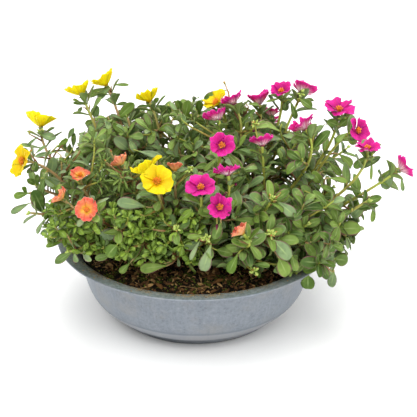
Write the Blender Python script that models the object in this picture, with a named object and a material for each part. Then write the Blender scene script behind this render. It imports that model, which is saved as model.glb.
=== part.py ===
"""Potted portulaca: flowering portulaca plants in a low zinc bowl.

Metres, +Z up. The origin is the middle of the bowl's underside, and the front of the pot
looks along -Y. A bloom's or shoot's azimuth is 0 to the front, 90 to +X and 180 to the back.
"""
import math
import random

import bmesh
import bpy
import numpy as np
from mathutils import Matrix, Vector
from mathutils.bvhtree import BVHTree

MM = 0.001
UP = Vector((0.0, 0.0, 1.0))

# Bowl: a spun sheet with a flat turned-out lip
SHEET = 1.5 * MM
FOOT_RADIUS = 80 * MM
RIM_RADIUS = 138 * MM
RIM_HEIGHT = 81 * MM
LIP_WIDTH = 13 * MM
LIP_RISE = 1.2 * MM
BOWL_SEGMENTS = 36
SMOOTH_ANGLE = math.radians(35.0)
DRAIN_HOLES = 4
DRAIN_HOLE_RADIUS = 4 * MM
DRAIN_HOLE_SIDES = 6
DRAIN_RING_RADIUS = 45 * MM

# Soil
SOIL_EDGE_HEIGHT = 71 * MM
SOIL_MOUND = 5 * MM
SOIL_RADIUS = 114.6 * MM
SOIL_SEGMENTS = BOWL_SEGMENTS // 2
SOIL_RINGS = 3
SOIL_LUMP = 0.9 * MM
SOIL_WAVES = (9 * MM, 11 * MM)
SOIL_WAVE_SHIFT = 0.6
SOIL_WALL_POINTS = 5
SOIL_INNERMOST = 0.4
CLEARANCE = 0.35 * MM

# Stems
ROOT_DEPTH = 24 * MM
ROOT_SPREAD = 0.42
ROOT_SPREAD_LIMIT = 84 * MM
ROOT_SPACING = 9.5 * MM
STEM_LEAN = 5.2
STEM_SIDES = 4
BEND_SPACING = 44 * MM
STEM_RADIUS = 2.1 * MM
STEM_TIP_RADIUS = 1.15 * MM
BRANCH_RADIUS = 1.4 * MM
AXIS_GAP = 1.0 * MM
HOLE_SIDES = 6
HOLE_RISE = 5 * MM
FIRST_CORNER = math.radians(225.0)
FORK_HEIGHT = 3.2 * MM
COLLAR = 5.0 * MM
CALYX_LENGTH = 6.0 * MM
CALYX_RADIUS = 1.9 * MM
BUD_RADIUS = 1.8 * MM
BUD_TIP_RADIUS = 0.5 * MM

# Routes: how far the curve's handles reach as shares of the span, where branches leave as
# shares of their parent, and how tries that fail are shaken
FOOT_HANDLE = 0.38
END_HANDLE = 0.28
END_STEADINESS = 2.0
FORK_HANDLE = 0.33
FORK_END_HANDLE = 0.3
FORK_ALONG = 0.9
FORK_TOWARDS = 0.6
FORK_PLACE = 0.34
FORK_PLACES = (0.22, 0.62)
FORK_WANDER = (-0.12, 0.22)
FORK_WANDER_SHAKE = 10 * MM
FORK_SPACING = 2.6 * FORK_HEIGHT
ROUTE_TRIES = 160
FIRST_SHAKE = 2 * MM
SHAKE_STEP = 0.25 * MM
MOST_SHAKE = 24 * MM
HANDLE_SHAKE = 1.5
SAMPLE_STEP = 3 * MM
FORK_SKIP = 9 * MM
FOOT_SKIP = 5 * MM
GROUND_GAP = 3 * MM
UNDER_LIP = 0.4 * RIM_HEIGHT
BLOOM_KEEP_OUT = 0.6
BLOOM_AHEAD = 5 * MM
BRANCH_INSET = 0.8
ENVELOPE_STEP = 8 * MM
ENVELOPE_RINGS = 4

# Leaves
LEAF_THICKNESS = 0.9 * MM
LEAF_SEAT = 1.8 * MM
LEAF_WIDEST = 0.62
LEAF_SAG = 0.04
LEAF_TIP = 0.2
LEAF_TIP_THICKNESS = 0.8 * LEAF_THICKNESS
LEAF_LENGTHS = (17, 25)
WHORL_LEAF_LENGTHS = (13, 21)
LEAF_WIDTHS = (0.42, 0.5)
LEAF_CLIMBS = (15, 50)
LEAF_DROOPS = (0.0, 0.5)
LEAF_SWINGS = (-0.25, 0.25)
LEAF_RISE = 0.3
LEAST_OUTWARD = 0.35
LEAF_SHRINK = 0.045
LEAF_GAP = 0.35 * MM
LEAF_GAP_OVER = 1.6 * LEAF_GAP
LEAF_STARTS = (0.1, 0.35)
WHORL_DROP = 9.0 * MM
FIRST_PAIR_DROP = 11.0 * MM
STEM_PAIR_SPACING = 27.0 * MM
BRANCH_PAIR_SPACING = 15.0 * MM
STEM_PAIRS = 2
BRANCH_PAIRS = 1
JOINT_STEP = 2 * MM
FORK_ROOM = 1.6 * FORK_HEIGHT
LEAF_GROUND_GAP = 1.0 * MM
LOWEST_LEAF = 14 * MM
LOWEST_BRANCH_LEAF = 1.5 * COLLAR
TRIES_PER_LEAF = 10

# Petals
PETALS = 5
PETAL_THICKNESS = 0.8 * MM
HUB_RADIUS = 2.3 * MM
HUB_FOOT_RADIUS = 0.8 * HUB_RADIUS
HUB_HEIGHT = 1.1 * MM
STAMEN_HEIGHT = 4.6 * MM
STAMEN_RADIUS = 1.5 * MM
PETAL_WIDEST = 0.62
PETAL_HALF_WIDTHS = (0.52, 0.34)
PETAL_STEPS = 12
PETAL_NOTCH = 0.14
SECTOR_FILL = 0.95

SEED = 7

# Blooms: colour, centre (mm), facing azimuth and elevation, radius (mm),
# and the petals' angle above the flat at their base and at their tip
BLOOMS = {
    "yellow_1": ("yellow", (-150, 10, 196), 180, 60, 14.5, 64, 32),
    "yellow_2": ("yellow", (-162, -50, 181), -58, 18, 15.0, 62, 6),
    "yellow_3": ("yellow", (-112, 20, 224), -128, 60, 12.5, 66, 34),
    "yellow_4": ("yellow", (-90, 40, 226), -126, 56, 13.0, 66, 32),
    "yellow_5": ("yellow", (-47, 40, 209), -134, 60, 12.5, 66, 30),
    "yellow_6": ("yellow", (-34, -115, 190), 6, 48, 14.8, 60, 4),
    "yellow_7": ("yellow", (-45, -90, 191), -112, 52, 14.5, 64, 26),
    "yellow_8": ("yellow", (19, 20, 212), -70, 52, 13.0, 66, 16),
    "yellow_9": ("yellow", (-59, 105, 150), 170, 50, 14.0, 62, 6),
    "magenta_1": ("magenta", (24, -85, 212), 2, 38, 12.0, 60, 6),
    "magenta_2": ("magenta", (5, -115, 184), -3, 66, 13.4, 60, 8),
    "magenta_3": ("magenta", (22, -120, 167), 12, 34, 11.8, 62, 8),
    "magenta_4": ("magenta", (29, -93, 190), -150, 66, 11.5, 66, 26),
    "magenta_5": ("magenta", (35, 0, 222), -127, 54, 12.0, 66, 28),
    "magenta_6": ("magenta", (20, -14, 211), -150, 50, 11.5, 66, 30),
    "magenta_7": ("magenta", (61, 30, 211), -150, 66, 10.5, 68, 42),
    "magenta_8": ("magenta", (82, 20, 224), -24, 72, 11.0, 64, 26),
    "magenta_9": ("magenta", (105, 40, 216), 150, 34, 12.5, 64, 26),
    "magenta_10": ("magenta", (74, 38, 194), 176, 58, 9.0, 68, 36),
    "magenta_11": ("magenta", (101, -30, 208), -132, 42, 13.0, 66, 24),
    "magenta_12": ("magenta", (62, -40, 196), 190, 62, 12.0, 66, 26),
    "magenta_13": ("magenta", (136, -8, 216), 8, 84, 15.0, 62, 10),
    "magenta_14": ("magenta", (152, -34, 205), 52, 28, 12.5, 62, 10),
    "magenta_15": ("magenta", (159, -58, 198), -6, 84, 12.0, 64, 16),
    "magenta_16": ("magenta", (195, -40, 169), 112, 28, 12.0, 66, 22),
    "magenta_17": ("magenta", (75, 108, 152), 200, 48, 13.0, 62, 8),
    "coral_1": ("coral", (-70, -60, 185), -128, 50, 9.0, 68, 34),
    "coral_2": ("coral", (-106, -80, 180), -5, 76, 9.8, 64, 14),
    "coral_3": ("coral", (-124, -90, 163), -100, 42, 9.5, 66, 26),
    "coral_4": ("coral", (-98, -115, 162), 6, 32, 10.6, 62, 8),
    "coral_5": ("coral", (-19, -70, 184), 180, 62, 7.2, 70, 44),
    "coral_6": ("coral", (41, -120, 143), -110, 50, 9.0, 68, 34),
}

# Leafy shoots with a bud at their end: end (mm), and the azimuth and elevation they point to
SHOOTS = {
    "left_high": ((-155, -38, 152), -75, 45),
    "left_long": ((-157, -72, 138), -80, 15),
    "left_low": ((-137, -84, 128), -55, 35),
    "left_rim": ((-119, -100, 112), -45, 25),
    "left_back": ((-68, 26, 196), -110, 70),
    "front_coral": ((-73, -104, 138), -20, 45),
    "front_yellow": ((-53, -100, 118), -20, 35),
    "front_moss": ((-21, -98, 104), -10, 35),
    "front_middle": ((-18, -108, 141), 0, 50),
    "front_magenta": ((11, -108, 126), 5, 40),
    "middle_top": ((-12, 28, 201), -40, 75),
    "middle_back": ((1, 60, 188), 180, 70),
    "top_right": ((48, 20, 204), 60, 75),
    "right_top": ((101, 4, 184), 100, 65),
    "right_bud": ((69, -106, 136), 20, 55),
    "right_tall_bud": ((71, -96, 166), 25, 60),
    "right_leafy": ((105, -88, 134), 40, 45),
    "low_bud": ((53, -96, 96), 15, 25),
    "right_low": ((125, -72, 98), 60, 10),
    "right_out": ((145, -58, 118), 70, 25),
    "right_middle": ((132, -40, 150), 60, 45),
    "right_far": ((163, -66, 148), 65, 35),
    "back_high_left": ((-43, 78, 172), -160, 60),
    "back_high_right": ((65, 76, 174), 160, 60),
    "back_left": ((-95, 95, 142), -140, 45),
    "back_far_left": ((-139, 58, 150), -110, 40),
    "back_dip": ((-31, 134, 132), -170, 35),
    "back_middle": ((13, 138, 138), 180, 35),
    "back_middle_high": ((9, 98, 160), 175, 65),
    "back_right_dip": ((49, 136, 130), 165, 35),
    "back_right": ((121, 92, 148), 135, 40),
    "back_far_right": ((153, 50, 152), 110, 40),
}

# Each leafy stem and the ends it carries, its own first and then its side branches'
STEMS = {
    "stem_1": ("yellow_1", "left_high"),
    "stem_2": ("yellow_2", "left_long"),
    "stem_3": ("yellow_3", "yellow_4", "left_back"),
    "stem_4": ("coral_3", "left_low", "left_rim"),
    "stem_5": ("coral_2", "coral_4"),
    "stem_6": ("coral_1", "front_coral"),
    "stem_7": ("yellow_5", "middle_top", "back_high_left"),
    "stem_8": ("yellow_6", "yellow_7", "front_yellow"),
    "stem_9": ("coral_5", "front_middle"),
    "stem_10": ("yellow_8", "middle_back"),
    "stem_11": ("magenta_5", "magenta_6", "top_right"),
    "stem_12": ("magenta_1", "magenta_4"),
    "stem_13": ("magenta_2", "front_magenta"),
    "stem_14": ("magenta_3", "front_moss"),
    "stem_15": ("magenta_8", "magenta_7", "magenta_10"),
    "stem_16": ("magenta_9", "right_top", "back_high_right"),
    "stem_17": ("magenta_11", "magenta_12"),
    "stem_18": ("magenta_13", "magenta_14"),
    "stem_19": ("magenta_15", "right_middle"),
    "stem_20": ("magenta_16", "right_far"),
    "stem_21": ("coral_6", "low_bud"),
    "stem_22": ("right_tall_bud", "right_bud", "right_leafy"),
    "stem_23": ("right_out", "right_low"),
    "stem_24": ("yellow_9", "back_left", "back_far_left"),
    "stem_25": ("back_middle_high", "back_dip", "back_middle"),
    "stem_26": ("magenta_17", "back_right_dip", "back_right", "back_far_right"),
}

COLOURS = {
    "zinc": ((0.36, 0.40, 0.43, 1.0), 0.45, 0.85),
    "soil": ((0.035, 0.022, 0.014, 1.0), 0.95, 0.0),
    "foliage": ((0.10, 0.22, 0.05, 1.0), 0.5, 0.0),
    "yellow": ((0.95, 0.72, 0.01, 1.0), 0.5, 0.0),
    "magenta": ((0.65, 0.01, 0.28, 1.0), 0.5, 0.0),
    "coral": ((0.90, 0.16, 0.06, 1.0), 0.5, 0.0),
}


# Small geometry helpers

def pointing(azimuth, elevation):
    """The unit vector at an azimuth and elevation in degrees."""
    around = math.radians(azimuth)
    above = math.radians(elevation)
    level = math.cos(above)
    return Vector((math.sin(around) * level, -math.cos(around) * level, math.sin(above)))


def square_to(vector, axis):
    """The unit vector nearest to vector that is square to axis."""
    return (vector - axis * vector.dot(axis)).normalized()


def soil_height(x, y):
    """Height of the soil's surface, mounded and a little lumpy."""
    mound = SOIL_MOUND * (1.0 - (x * x + y * y) / SOIL_RADIUS**2)
    lumps = math.sin(x / SOIL_WAVES[0]) * math.cos(y / SOIL_WAVES[1] + SOIL_WAVE_SHIFT)
    return SOIL_EDGE_HEIGHT + mound + SOIL_LUMP * lumps


# Centre lines of the stems and branches

class Axis:
    """One stem or branch: a smooth centre line, its thickness and what its end carries."""

    SAMPLES = 28

    def __init__(self, stem, end, controls, thick, side_hint):
        self.stem = stem
        self.end = end
        self.thick = thick
        self.thin = STEM_TIP_RADIUS
        self.host = None
        self.forks = []
        self.leaves = []
        points = []
        first, second, third, fourth = controls
        for i in range(self.SAMPLES + 1):
            t = i / self.SAMPLES
            u = 1.0 - t
            points.append(first * u**3 + second * (3 * u * u * t) + third * (3 * u * t * t) + fourth * t**3)
        self.points = points
        self.ways = [0.0]
        for a, b in zip(points, points[1:]):
            self.ways.append(self.ways[-1] + (b - a).length)
        self.length = self.ways[-1]
        steps = [(b - a).normalized() for a, b in zip(points, points[1:])]
        tangents = [(second - first).normalized()]
        tangents += [(a + b).normalized() for a, b in zip(steps, steps[1:])]
        tangents.append((fourth - third).normalized())
        self.tangents = tangents
        side = square_to(side_hint, tangents[0])
        self.side_vectors = []
        for tangent in tangents:
            side = square_to(side, tangent)
            self.side_vectors.append(side)

    def frame(self, way):
        """Point, tangent, side and across vectors at a distance along the axis."""
        way = min(max(way, 0.0), self.length)
        i = 0
        while i < self.SAMPLES - 1 and self.ways[i + 1] < way:
            i += 1
        t = (way - self.ways[i]) / (self.ways[i + 1] - self.ways[i])
        point = self.points[i].lerp(self.points[i + 1], t)
        tangent = self.tangents[i].lerp(self.tangents[i + 1], t).normalized()
        side = square_to(self.side_vectors[i].lerp(self.side_vectors[i + 1], t), tangent)
        return point, tangent, side, tangent.cross(side)

    def radius(self, way):
        """Thickness tapers evenly from the foot to the calyx, which swells again."""
        if way > self.length - CALYX_LENGTH:
            return CALYX_RADIUS
        return self.thick + (self.thin - self.thick) * way / self.length

    def ring(self, way, radius=None):
        """Corners of the cross-section at a distance along the axis."""
        point, _, side, across = self.frame(way)
        if radius is None:
            radius = self.radius(way)
        corners = []
        for j in range(STEM_SIDES):
            turn = FIRST_CORNER + 2.0 * math.pi * j / STEM_SIDES
            corners.append(point + side * (radius * math.cos(turn)) + across * (radius * math.sin(turn)))
        return corners

    def face_outward(self, way, k):
        """Outward direction of side face k."""
        _, _, side, across = self.frame(way)
        turn = FIRST_CORNER + 2.0 * math.pi * (k + 0.5) / STEM_SIDES
        return side * math.cos(turn) + across * math.sin(turn)


def end_of(name):
    """Where an axis ends and which way it points there: under a bloom, or in a bud."""
    if name in BLOOMS:
        base, facing = bloom_base(name)
        return base - facing * CLEARANCE, facing
    place, azimuth, elevation = SHOOTS[name]
    return Vector(place) * MM, pointing(azimuth, elevation)


def foot_of(name):
    """Where the stem that ends at a name leaves the soil, and its slant there."""
    end, _ = end_of(name)
    level = Vector((end.x, end.y, 0.0)) * ROOT_SPREAD
    if level.length > ROOT_SPREAD_LIMIT:
        level *= ROOT_SPREAD_LIMIT / level.length
    slant = Vector((end.x, end.y, 0.0)) * STEM_LEAN + UP
    return level, slant.normalized()


def below_ground(point, margin):
    """True where a point is in the soil or in the bowl's lip, or would touch them."""
    reach = math.hypot(point.x, point.y)
    if reach < RIM_RADIUS - LIP_WIDTH - SHEET:
        return point.z < soil_height(point.x, point.y) + margin
    if reach < RIM_RADIUS + margin:
        return point.z < RIM_HEIGHT + margin
    return point.z < UNDER_LIP


def route_is_clear(axis, skip_start, others, keep_outs):
    """True if an axis passes clear of the other axes, the blooms and the soil."""
    mine = [(axis.frame(w)[0], axis.radius(w)) for w in np.arange(skip_start, axis.length, SAMPLE_STEP)]
    places = np.array([p[:] for p, _ in mine])
    thick = np.array([r for _, r in mine])
    for other_places, other_thick in others:
        apart = np.linalg.norm(places[:, None, :] - other_places[None, :, :], axis=2)
        room = apart - thick[:, None] - other_thick[None, :]
        if room.min() < AXIS_GAP:
            return False
    for name, centre, size, tree in keep_outs:
        if name == axis.end:
            continue
        if np.linalg.norm(places - centre, axis=1).min() < size + STEM_RADIUS:
            return False
        for point, radius in mine:
            if tree.find_nearest(point, radius + AXIS_GAP)[0] is not None:
                return False
    for point, _ in mine:
        if below_ground(point, GROUND_GAP):
            return False
    return True


def sampled(axis):
    """Places and radii along an axis, for clearance tests."""
    ways = np.arange(0.0, axis.length, SAMPLE_STEP)
    places = np.array([axis.frame(w)[0][:] for w in ways])
    return places, np.array([axis.radius(w) for w in ways])


def shaken(rng, size):
    """A random vector with coordinates up to a size."""
    return Vector((rng.uniform(-1, 1), rng.uniform(-1, 1), rng.uniform(-1, 1))) * size


def make_stem_axis(stem, end_name, rng, shake):
    """A main stem from its foot in the soil to its end, with a random bend."""
    level, slant = foot_of(end_name)
    end, pointing_to = end_of(end_name)
    level = level + Vector((rng.uniform(-1, 1), rng.uniform(-1, 1), 0.0)) * shake
    foot = Vector((level.x, level.y, soil_height(level.x, level.y)))
    span = (end - foot).length
    second = foot + slant * (FOOT_HANDLE * span) + shaken(rng, HANDLE_SHAKE * shake)
    slant = (second - foot).normalized()
    third = end - pointing_to * (END_HANDLE * span) + shaken(rng, HANDLE_SHAKE * shake)
    arriving = (pointing_to * END_STEADINESS + (end - third).normalized()).normalized()
    third = end - arriving * (END_HANDLE * span)
    side = square_to(Vector((1.0, 0.3, 0.0)), slant)
    return Axis(stem, end_name, (foot, second, third, end), STEM_RADIUS, side)


def make_branch_axis(parent, end_name, rng, shake):
    """A side branch that leaves its parent at a leaf joint and turns to its own end."""
    end, pointing_to = end_of(end_name)
    share = FORK_PLACE + rng.uniform(*FORK_WANDER) * shake / FORK_WANDER_SHAKE
    way = parent.length * min(max(share, FORK_PLACES[0]), FORK_PLACES[1])
    point, tangent, _, _ = parent.frame(way)
    towards = square_to(end - point, tangent)
    best = max(range(STEM_SIDES), key=lambda k: parent.face_outward(way, k).dot(towards))
    outward = parent.face_outward(way, best)
    leaving = outward + tangent * FORK_ALONG + (end - point).normalized() * FORK_TOWARDS
    leaving.normalize()
    start = point + outward * parent.radius(way) * BRANCH_INSET
    span = (end - start).length
    second = start + leaving * (FORK_HANDLE * span) + shaken(rng, shake)
    third = end - pointing_to * (FORK_END_HANDLE * span)
    side = square_to(tangent.cross(outward), (second - start).normalized())
    axis = Axis(parent.stem, end_name, (start, second, third, end), BRANCH_RADIUS, side)
    axis.host = (way, best)
    return axis


def lay_stems():
    """Routes for every stem and branch, each bent clear of those already laid."""
    rng = random.Random(SEED)
    keep_outs = []
    for name in BLOOMS:
        base, facing = bloom_base(name)
        size = BLOOM_KEEP_OUT * BLOOMS[name][4] * MM
        tree = BVHTree.FromPolygons(*bloom_surface(name))
        keep_outs.append((name, np.array((base + facing * BLOOM_AHEAD)[:]), size, tree))
    axes = []
    laid = []
    for branches in (False, True):
        for stem, ends in STEMS.items():
            for end_name in ends[1:] if branches else ends[:1]:
                parent = next((a for a in axes if a.stem == stem and a.host is None), None)
                shake = FIRST_SHAKE
                for attempt in range(ROUTE_TRIES):
                    if branches:
                        axis = make_branch_axis(parent, end_name, rng, shake)
                        taken = [f for f in parent.forks if abs(f[0] - axis.host[0]) < FORK_SPACING]
                        clear = not taken and route_is_clear(axis, FORK_SKIP, laid, keep_outs)
                    else:
                        axis = make_stem_axis(stem, end_name, rng, shake)
                        feet = [a.points[0] for a in axes]
                        clear = all((axis.points[0] - foot).length > ROOT_SPACING for foot in feet)
                        clear = clear and route_is_clear(axis, FOOT_SKIP, laid, keep_outs)
                    if clear:
                        break
                    shake = min(shake + SHAKE_STEP, MOST_SHAKE)
                else:
                    raise RuntimeError(f"no clear way for {stem} to {end_name}")
                axes.append(axis)
                laid.append(sampled(axis))
                if branches:
                    parent.forks.append(axis.host)
    return axes


# Leaves

def leaf_sections(root, outward, tangent, side, length, width, climb, droop, swing):
    """Two cross-sections of a leaf blade, widest part and tip, four corners each."""
    leaning = outward * math.cos(climb) + tangent * math.sin(climb)
    direction = (leaning + UP * LEAF_RISE + side * swing).normalized()
    across = square_to(side, direction)
    normal = direction.cross(across)
    if normal.dot(tangent) < 0.0:
        normal = -normal
    middle = root + direction * (LEAF_WIDEST * length) - normal * (LEAF_SAG * length)
    fallen = (direction - normal * droop).normalized()
    tip = middle + fallen * ((1.0 - LEAF_WIDEST) * length)
    sections = []
    for centre, half, thickness in ((middle, 0.5 * width, LEAF_THICKNESS),
                                    (tip, LEAF_TIP * width, LEAF_TIP_THICKNESS)):
        lift = normal * (0.5 * thickness)
        reach = across * half
        sections.append([centre - reach - lift, centre + reach - lift,
                         centre + reach + lift, centre - reach + lift])
    return direction, sections


def leaf_envelope(root, sections, start):
    """A leaf's outline from a share of its length on, grown by the leaf gap."""
    near = [root.lerp(corner, start) for corner in sections[0]]
    points = []
    for ring in (near, sections[0], sections[1]):
        across = (sections[0][1] - sections[0][0]).normalized() * LEAF_GAP
        lift = (sections[0][3] - sections[0][0]).normalized() * LEAF_GAP_OVER
        moves = (-across - lift, across - lift, across + lift, lift - across)
        points.extend([corner + move for corner, move in zip(ring, moves)])
    faces = [(3, 2, 1, 0), (8, 9, 10, 11)] + tube_faces(3, 4)
    return points, faces


def tube_faces(rings, sides):
    """Faces of a tube whose rings of points follow each other in one list."""
    faces = []
    for ring in range(rings - 1):
        for j in range(sides):
            a = ring * sides + j
            b = ring * sides + (j + 1) % sides
            faces.append((a, b, b + sides, a + sides))
    return faces


def axis_envelope(axis):
    """Points and faces of a plain tube along an axis, for clearance tests."""
    ways = list(np.linspace(0.0, axis.length, max(ENVELOPE_RINGS, int(axis.length / ENVELOPE_STEP))))
    ways.append(axis.length - CALYX_LENGTH)
    ways.append(axis.length - 0.5 * CALYX_LENGTH)
    ways.sort()
    points = []
    for way in ways:
        points.extend(axis.ring(way))
    return points, tube_faces(len(ways), STEM_SIDES)


class Crowd:
    """Everything that a new leaf has to keep clear of, each thing with a family name.

    A leaf's root touches its own family (its stem, and the leaves of its joint), so
    against these only the outer part of the leaf is tested.
    """

    def __init__(self, axes):
        self.families = []
        self.trees = []
        self.centres = np.zeros((0, 3))
        self.sizes = np.zeros(0)
        for axis in axes:
            self.take(*axis_envelope(axis), axis.end)
        for name in BLOOMS:
            self.take(*bloom_surface(name), "")

    @staticmethod
    def ball(points):
        """Centre and radius of a ball round the points."""
        spots = np.array([p[:] for p in points])
        centre = spots.mean(axis=0)
        return centre, np.linalg.norm(spots - centre, axis=1).max()

    def take(self, points, faces, family):
        """Add one thing."""
        centre, size = self.ball(points)
        self.families.append(family)
        self.trees.append(BVHTree.FromPolygons(points, faces))
        self.centres = np.vstack((self.centres, centre))
        self.sizes = np.append(self.sizes, size)

    def has_room(self, whole, outer, families):
        """True if a leaf touches nothing and stays above the soil and the lip."""
        points = whole[0]
        for a, b in zip(points[4:8], points[8:12]):
            if any(below_ground(p, LEAF_GROUND_GAP) for p in (a, b, a.lerp(b, 0.5))):
                return False
        whole_tree = BVHTree.FromPolygons(*whole)
        outer_tree = BVHTree.FromPolygons(*outer)
        centre, size = self.ball(points)
        near = np.linalg.norm(self.centres - centre, axis=1) < self.sizes + size
        for i in np.nonzero(near)[0]:
            mine = outer_tree if self.families[i] in families else whole_tree
            if mine.overlap(self.trees[i]):
                return False
        return True


def leaf_joints(axis):
    """Distances along an axis where leaves sit, from its end down, with the faces that carry them."""
    whorl = axis.length - WHORL_DROP
    joints = [(whorl, tuple(range(4 if axis.host is None else 3)))]
    lowest = LOWEST_LEAF if axis.host is None else LOWEST_BRANCH_LEAF
    pairs = STEM_PAIRS if axis.host is None else BRANCH_PAIRS
    turn = 1
    way = whorl - FIRST_PAIR_DROP
    spacing = STEM_PAIR_SPACING if axis.host is None else BRANCH_PAIR_SPACING
    while way > lowest and len(joints) <= pairs:
        taken = [f for f in axis.forks if abs(f[0] - way) < FORK_ROOM]
        if not taken:
            joints.append((way, (turn % STEM_SIDES, (turn + 2) % STEM_SIDES)))
            turn += 1
            way -= spacing
        else:
            way -= JOINT_STEP
    return joints


def lay_leaves(axes):
    """Give every axis its leaves: the first variant of each that has room."""
    rng = random.Random(SEED + 1)
    crowd = Crowd(axes)
    for level in range(1 + STEM_PAIRS):
        for axis in axes:
            joints = leaf_joints(axis)
            if level >= len(joints):
                continue
            way, faces = joints[level]
            for k in faces:
                point, tangent, _, _ = axis.frame(way)
                outward = axis.face_outward(way, k)
                side = outward.cross(tangent) * -1.0
                inset = axis.radius(way) * math.cos(math.pi / STEM_SIDES)
                root = point + outward * inset
                grown = rng.uniform(*(LEAF_LENGTHS if level else WHORL_LEAF_LENGTHS))
                for attempt in range(TRIES_PER_LEAF):
                    length = grown * (1.0 - LEAF_SHRINK * attempt) * MM
                    width = length * rng.uniform(*LEAF_WIDTHS)
                    climb = math.radians(rng.uniform(*LEAF_CLIMBS))
                    droop = rng.uniform(*LEAF_DROOPS)
                    swing = rng.uniform(*LEAF_SWINGS)
                    direction, sections = leaf_sections(root, outward, tangent, side, length, width,
                                                        climb, droop, swing)
                    if direction.dot(outward) < LEAST_OUTWARD:
                        continue
                    whole = leaf_envelope(root, sections, LEAF_STARTS[0])
                    outer = leaf_envelope(root, sections, LEAF_STARTS[1])
                    families = (axis.end, (axis.end, way))
                    if crowd.has_room(whole, outer, families):
                        crowd.take(*whole, families[1])
                        axis.leaves.append((way, k, sections))
                        break


# Blooms

def petal_path(bloom):
    """Radius, height, angle and length along a petal's middle, in the bloom's own frame."""
    _, _, _, _, radius, base_angle, tip_angle = bloom
    start = HUB_RADIUS * math.cos(math.pi / PETALS)
    angles = []
    for i in range(PETAL_STEPS):
        left = 1.0 - (i + 0.5) / PETAL_STEPS
        angles.append(math.radians(tip_angle + (base_angle - tip_angle) * left * left))
    length = (radius * MM - start) * PETAL_STEPS / sum(math.cos(angle) for angle in angles)
    step = length / PETAL_STEPS
    path = [(start, 0.5 * HUB_HEIGHT, math.radians(base_angle), 0.0)]
    reach, height = path[0][:2]
    for i, angle in enumerate(angles):
        reach += math.cos(angle) * step
        height += math.sin(angle) * step
        path.append((reach, height, angle, (i + 1) / PETAL_STEPS))
    return path, length


def petal_sections(bloom, k):
    """The petal's widest section, its lobed end and the notch's pull, in the bloom's frame."""
    path, length = petal_path(bloom)
    turn = FIRST_CORNER + 2.0 * math.pi * (k + 0.5) / PETALS
    outward = Vector((math.cos(turn), math.sin(turn), 0.0))
    along = Vector((-math.sin(turn), math.cos(turn), 0.0))
    sections = []
    for part, share in zip((PETAL_WIDEST, 1.0), PETAL_HALF_WIDTHS):
        reach, height, angle, _ = min(path, key=lambda p: abs(p[3] - part))
        inner_reach = reach - 0.5 * PETAL_THICKNESS * math.sin(angle)
        half = min(share * length, SECTOR_FILL * inner_reach * math.tan(math.pi / PETALS))
        middle = outward * reach + UP * height
        lift = (UP * math.cos(angle) - outward * math.sin(angle)) * (0.5 * PETAL_THICKNESS)
        reach_side = along * half
        sections.append([middle - reach_side - lift, middle + reach_side - lift,
                         middle + reach_side + lift, middle - reach_side + lift])
    angle = path[-1][2]
    pull = (outward * math.cos(angle) + UP * math.sin(angle)) * (-PETAL_NOTCH * length)
    return sections, pull


def bloom_base(name):
    """Base point and facing of a bloom."""
    _, centre, azimuth, elevation = BLOOMS[name][:4]
    facing = pointing(azimuth, elevation)
    path, _ = petal_path(BLOOMS[name])
    return Vector(centre) * MM - facing * (0.5 * path[-1][1]), facing


def bloom_matrix(name):
    """Placement of a bloom: its own Z is the way it faces."""
    base, facing = bloom_base(name)
    return Matrix.Translation(base) @ facing.to_track_quat("Z", "Y").to_matrix().to_4x4()


def bloom_surface(name):
    """Points and faces of a bloom's petals in the world, for clearance tests."""
    matrix = bloom_matrix(name)
    points = []
    faces = []
    for k in range(PETALS):
        sections, _ = petal_sections(BLOOMS[name], k)
        turn = FIRST_CORNER + 2.0 * math.pi * (k + 0.5) / PETALS
        outward = Vector((math.cos(turn), math.sin(turn), 0.0)) * HUB_RADIUS
        start = len(points)
        for ring in ([outward] * 4, sections[0], sections[1]):
            points.extend([matrix @ p for p in ring])
        for ring in range(2):
            for j in range(4):
                a = start + 4 * ring + j
                b = start + 4 * ring + (j + 1) % 4
                faces.append((a, b, b + 4, a + 4))
        faces.append((start + 8, start + 9, start + 10, start + 11))
    return points, faces


# Mesh building by raising faces

class Pad:
    """A face that can be raised, with its corners in a known order."""

    def __init__(self, face, first):
        self.face = face
        self.first = first

    def corners(self):
        verts = [loop.vert for loop in self.face.loops]
        return verts[self.first:] + verts[:self.first]

    def raised(self, bm, places):
        """Extrude the face to new corner places."""
        face = bmesh.ops.extrude_discrete_faces(bm, faces=[self.face])["faces"][0]
        pad = Pad(face, self.first)
        for vert, place in zip(pad.corners(), places):
            vert.co = place
        return pad

    def side(self, j):
        """The side face below edge j of a raised face, old corners first."""
        verts = self.corners()
        edge = next(loop for loop in self.face.loops if loop.vert == verts[j])
        other = edge.link_loop_radial_next
        foot = other.link_loop_next.link_loop_next.vert
        order = [loop.vert for loop in other.face.loops]
        return Pad(other.face, order.index(foot))

    def split(self, a, b):
        """Cut the face along a diagonal between two of its corners."""
        verts = self.corners()
        bmesh.utils.face_split(self.face, verts[a], verts[b])


def first_block(bm, lower, upper):
    """A closed prism between two rings; returns its upper end."""
    low = [bm.verts.new(p) for p in lower]
    high = [bm.verts.new(p) for p in upper]
    bm.faces.new(low[::-1])
    top = bm.faces.new(high)
    n = len(low)
    for j in range(n):
        bm.faces.new((low[j], low[(j + 1) % n], high[(j + 1) % n], high[j]))
    return Pad(top, 0)


def raise_blade(bm, pad, sections):
    """Raise a leaf or petal from a face, both of its flat sides split alike."""
    for section in sections:
        pad = pad.raised(bm, section)
        under, over = pad.side(0), pad.side(2)
        under.split(0, 2)
        over.split(1, 3)
    return pad


def raise_tube(bm, pad, axis, stops):
    """Carry a tube along an axis by its stops, keeping the side faces asked for."""
    kept = {}
    for way, radius, keep in stops:
        pad = pad.raised(bm, axis.ring(way, radius))
        for k in keep:
            kept[(round(way, 6), k)] = pad.side(k)
    return pad, kept


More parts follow.
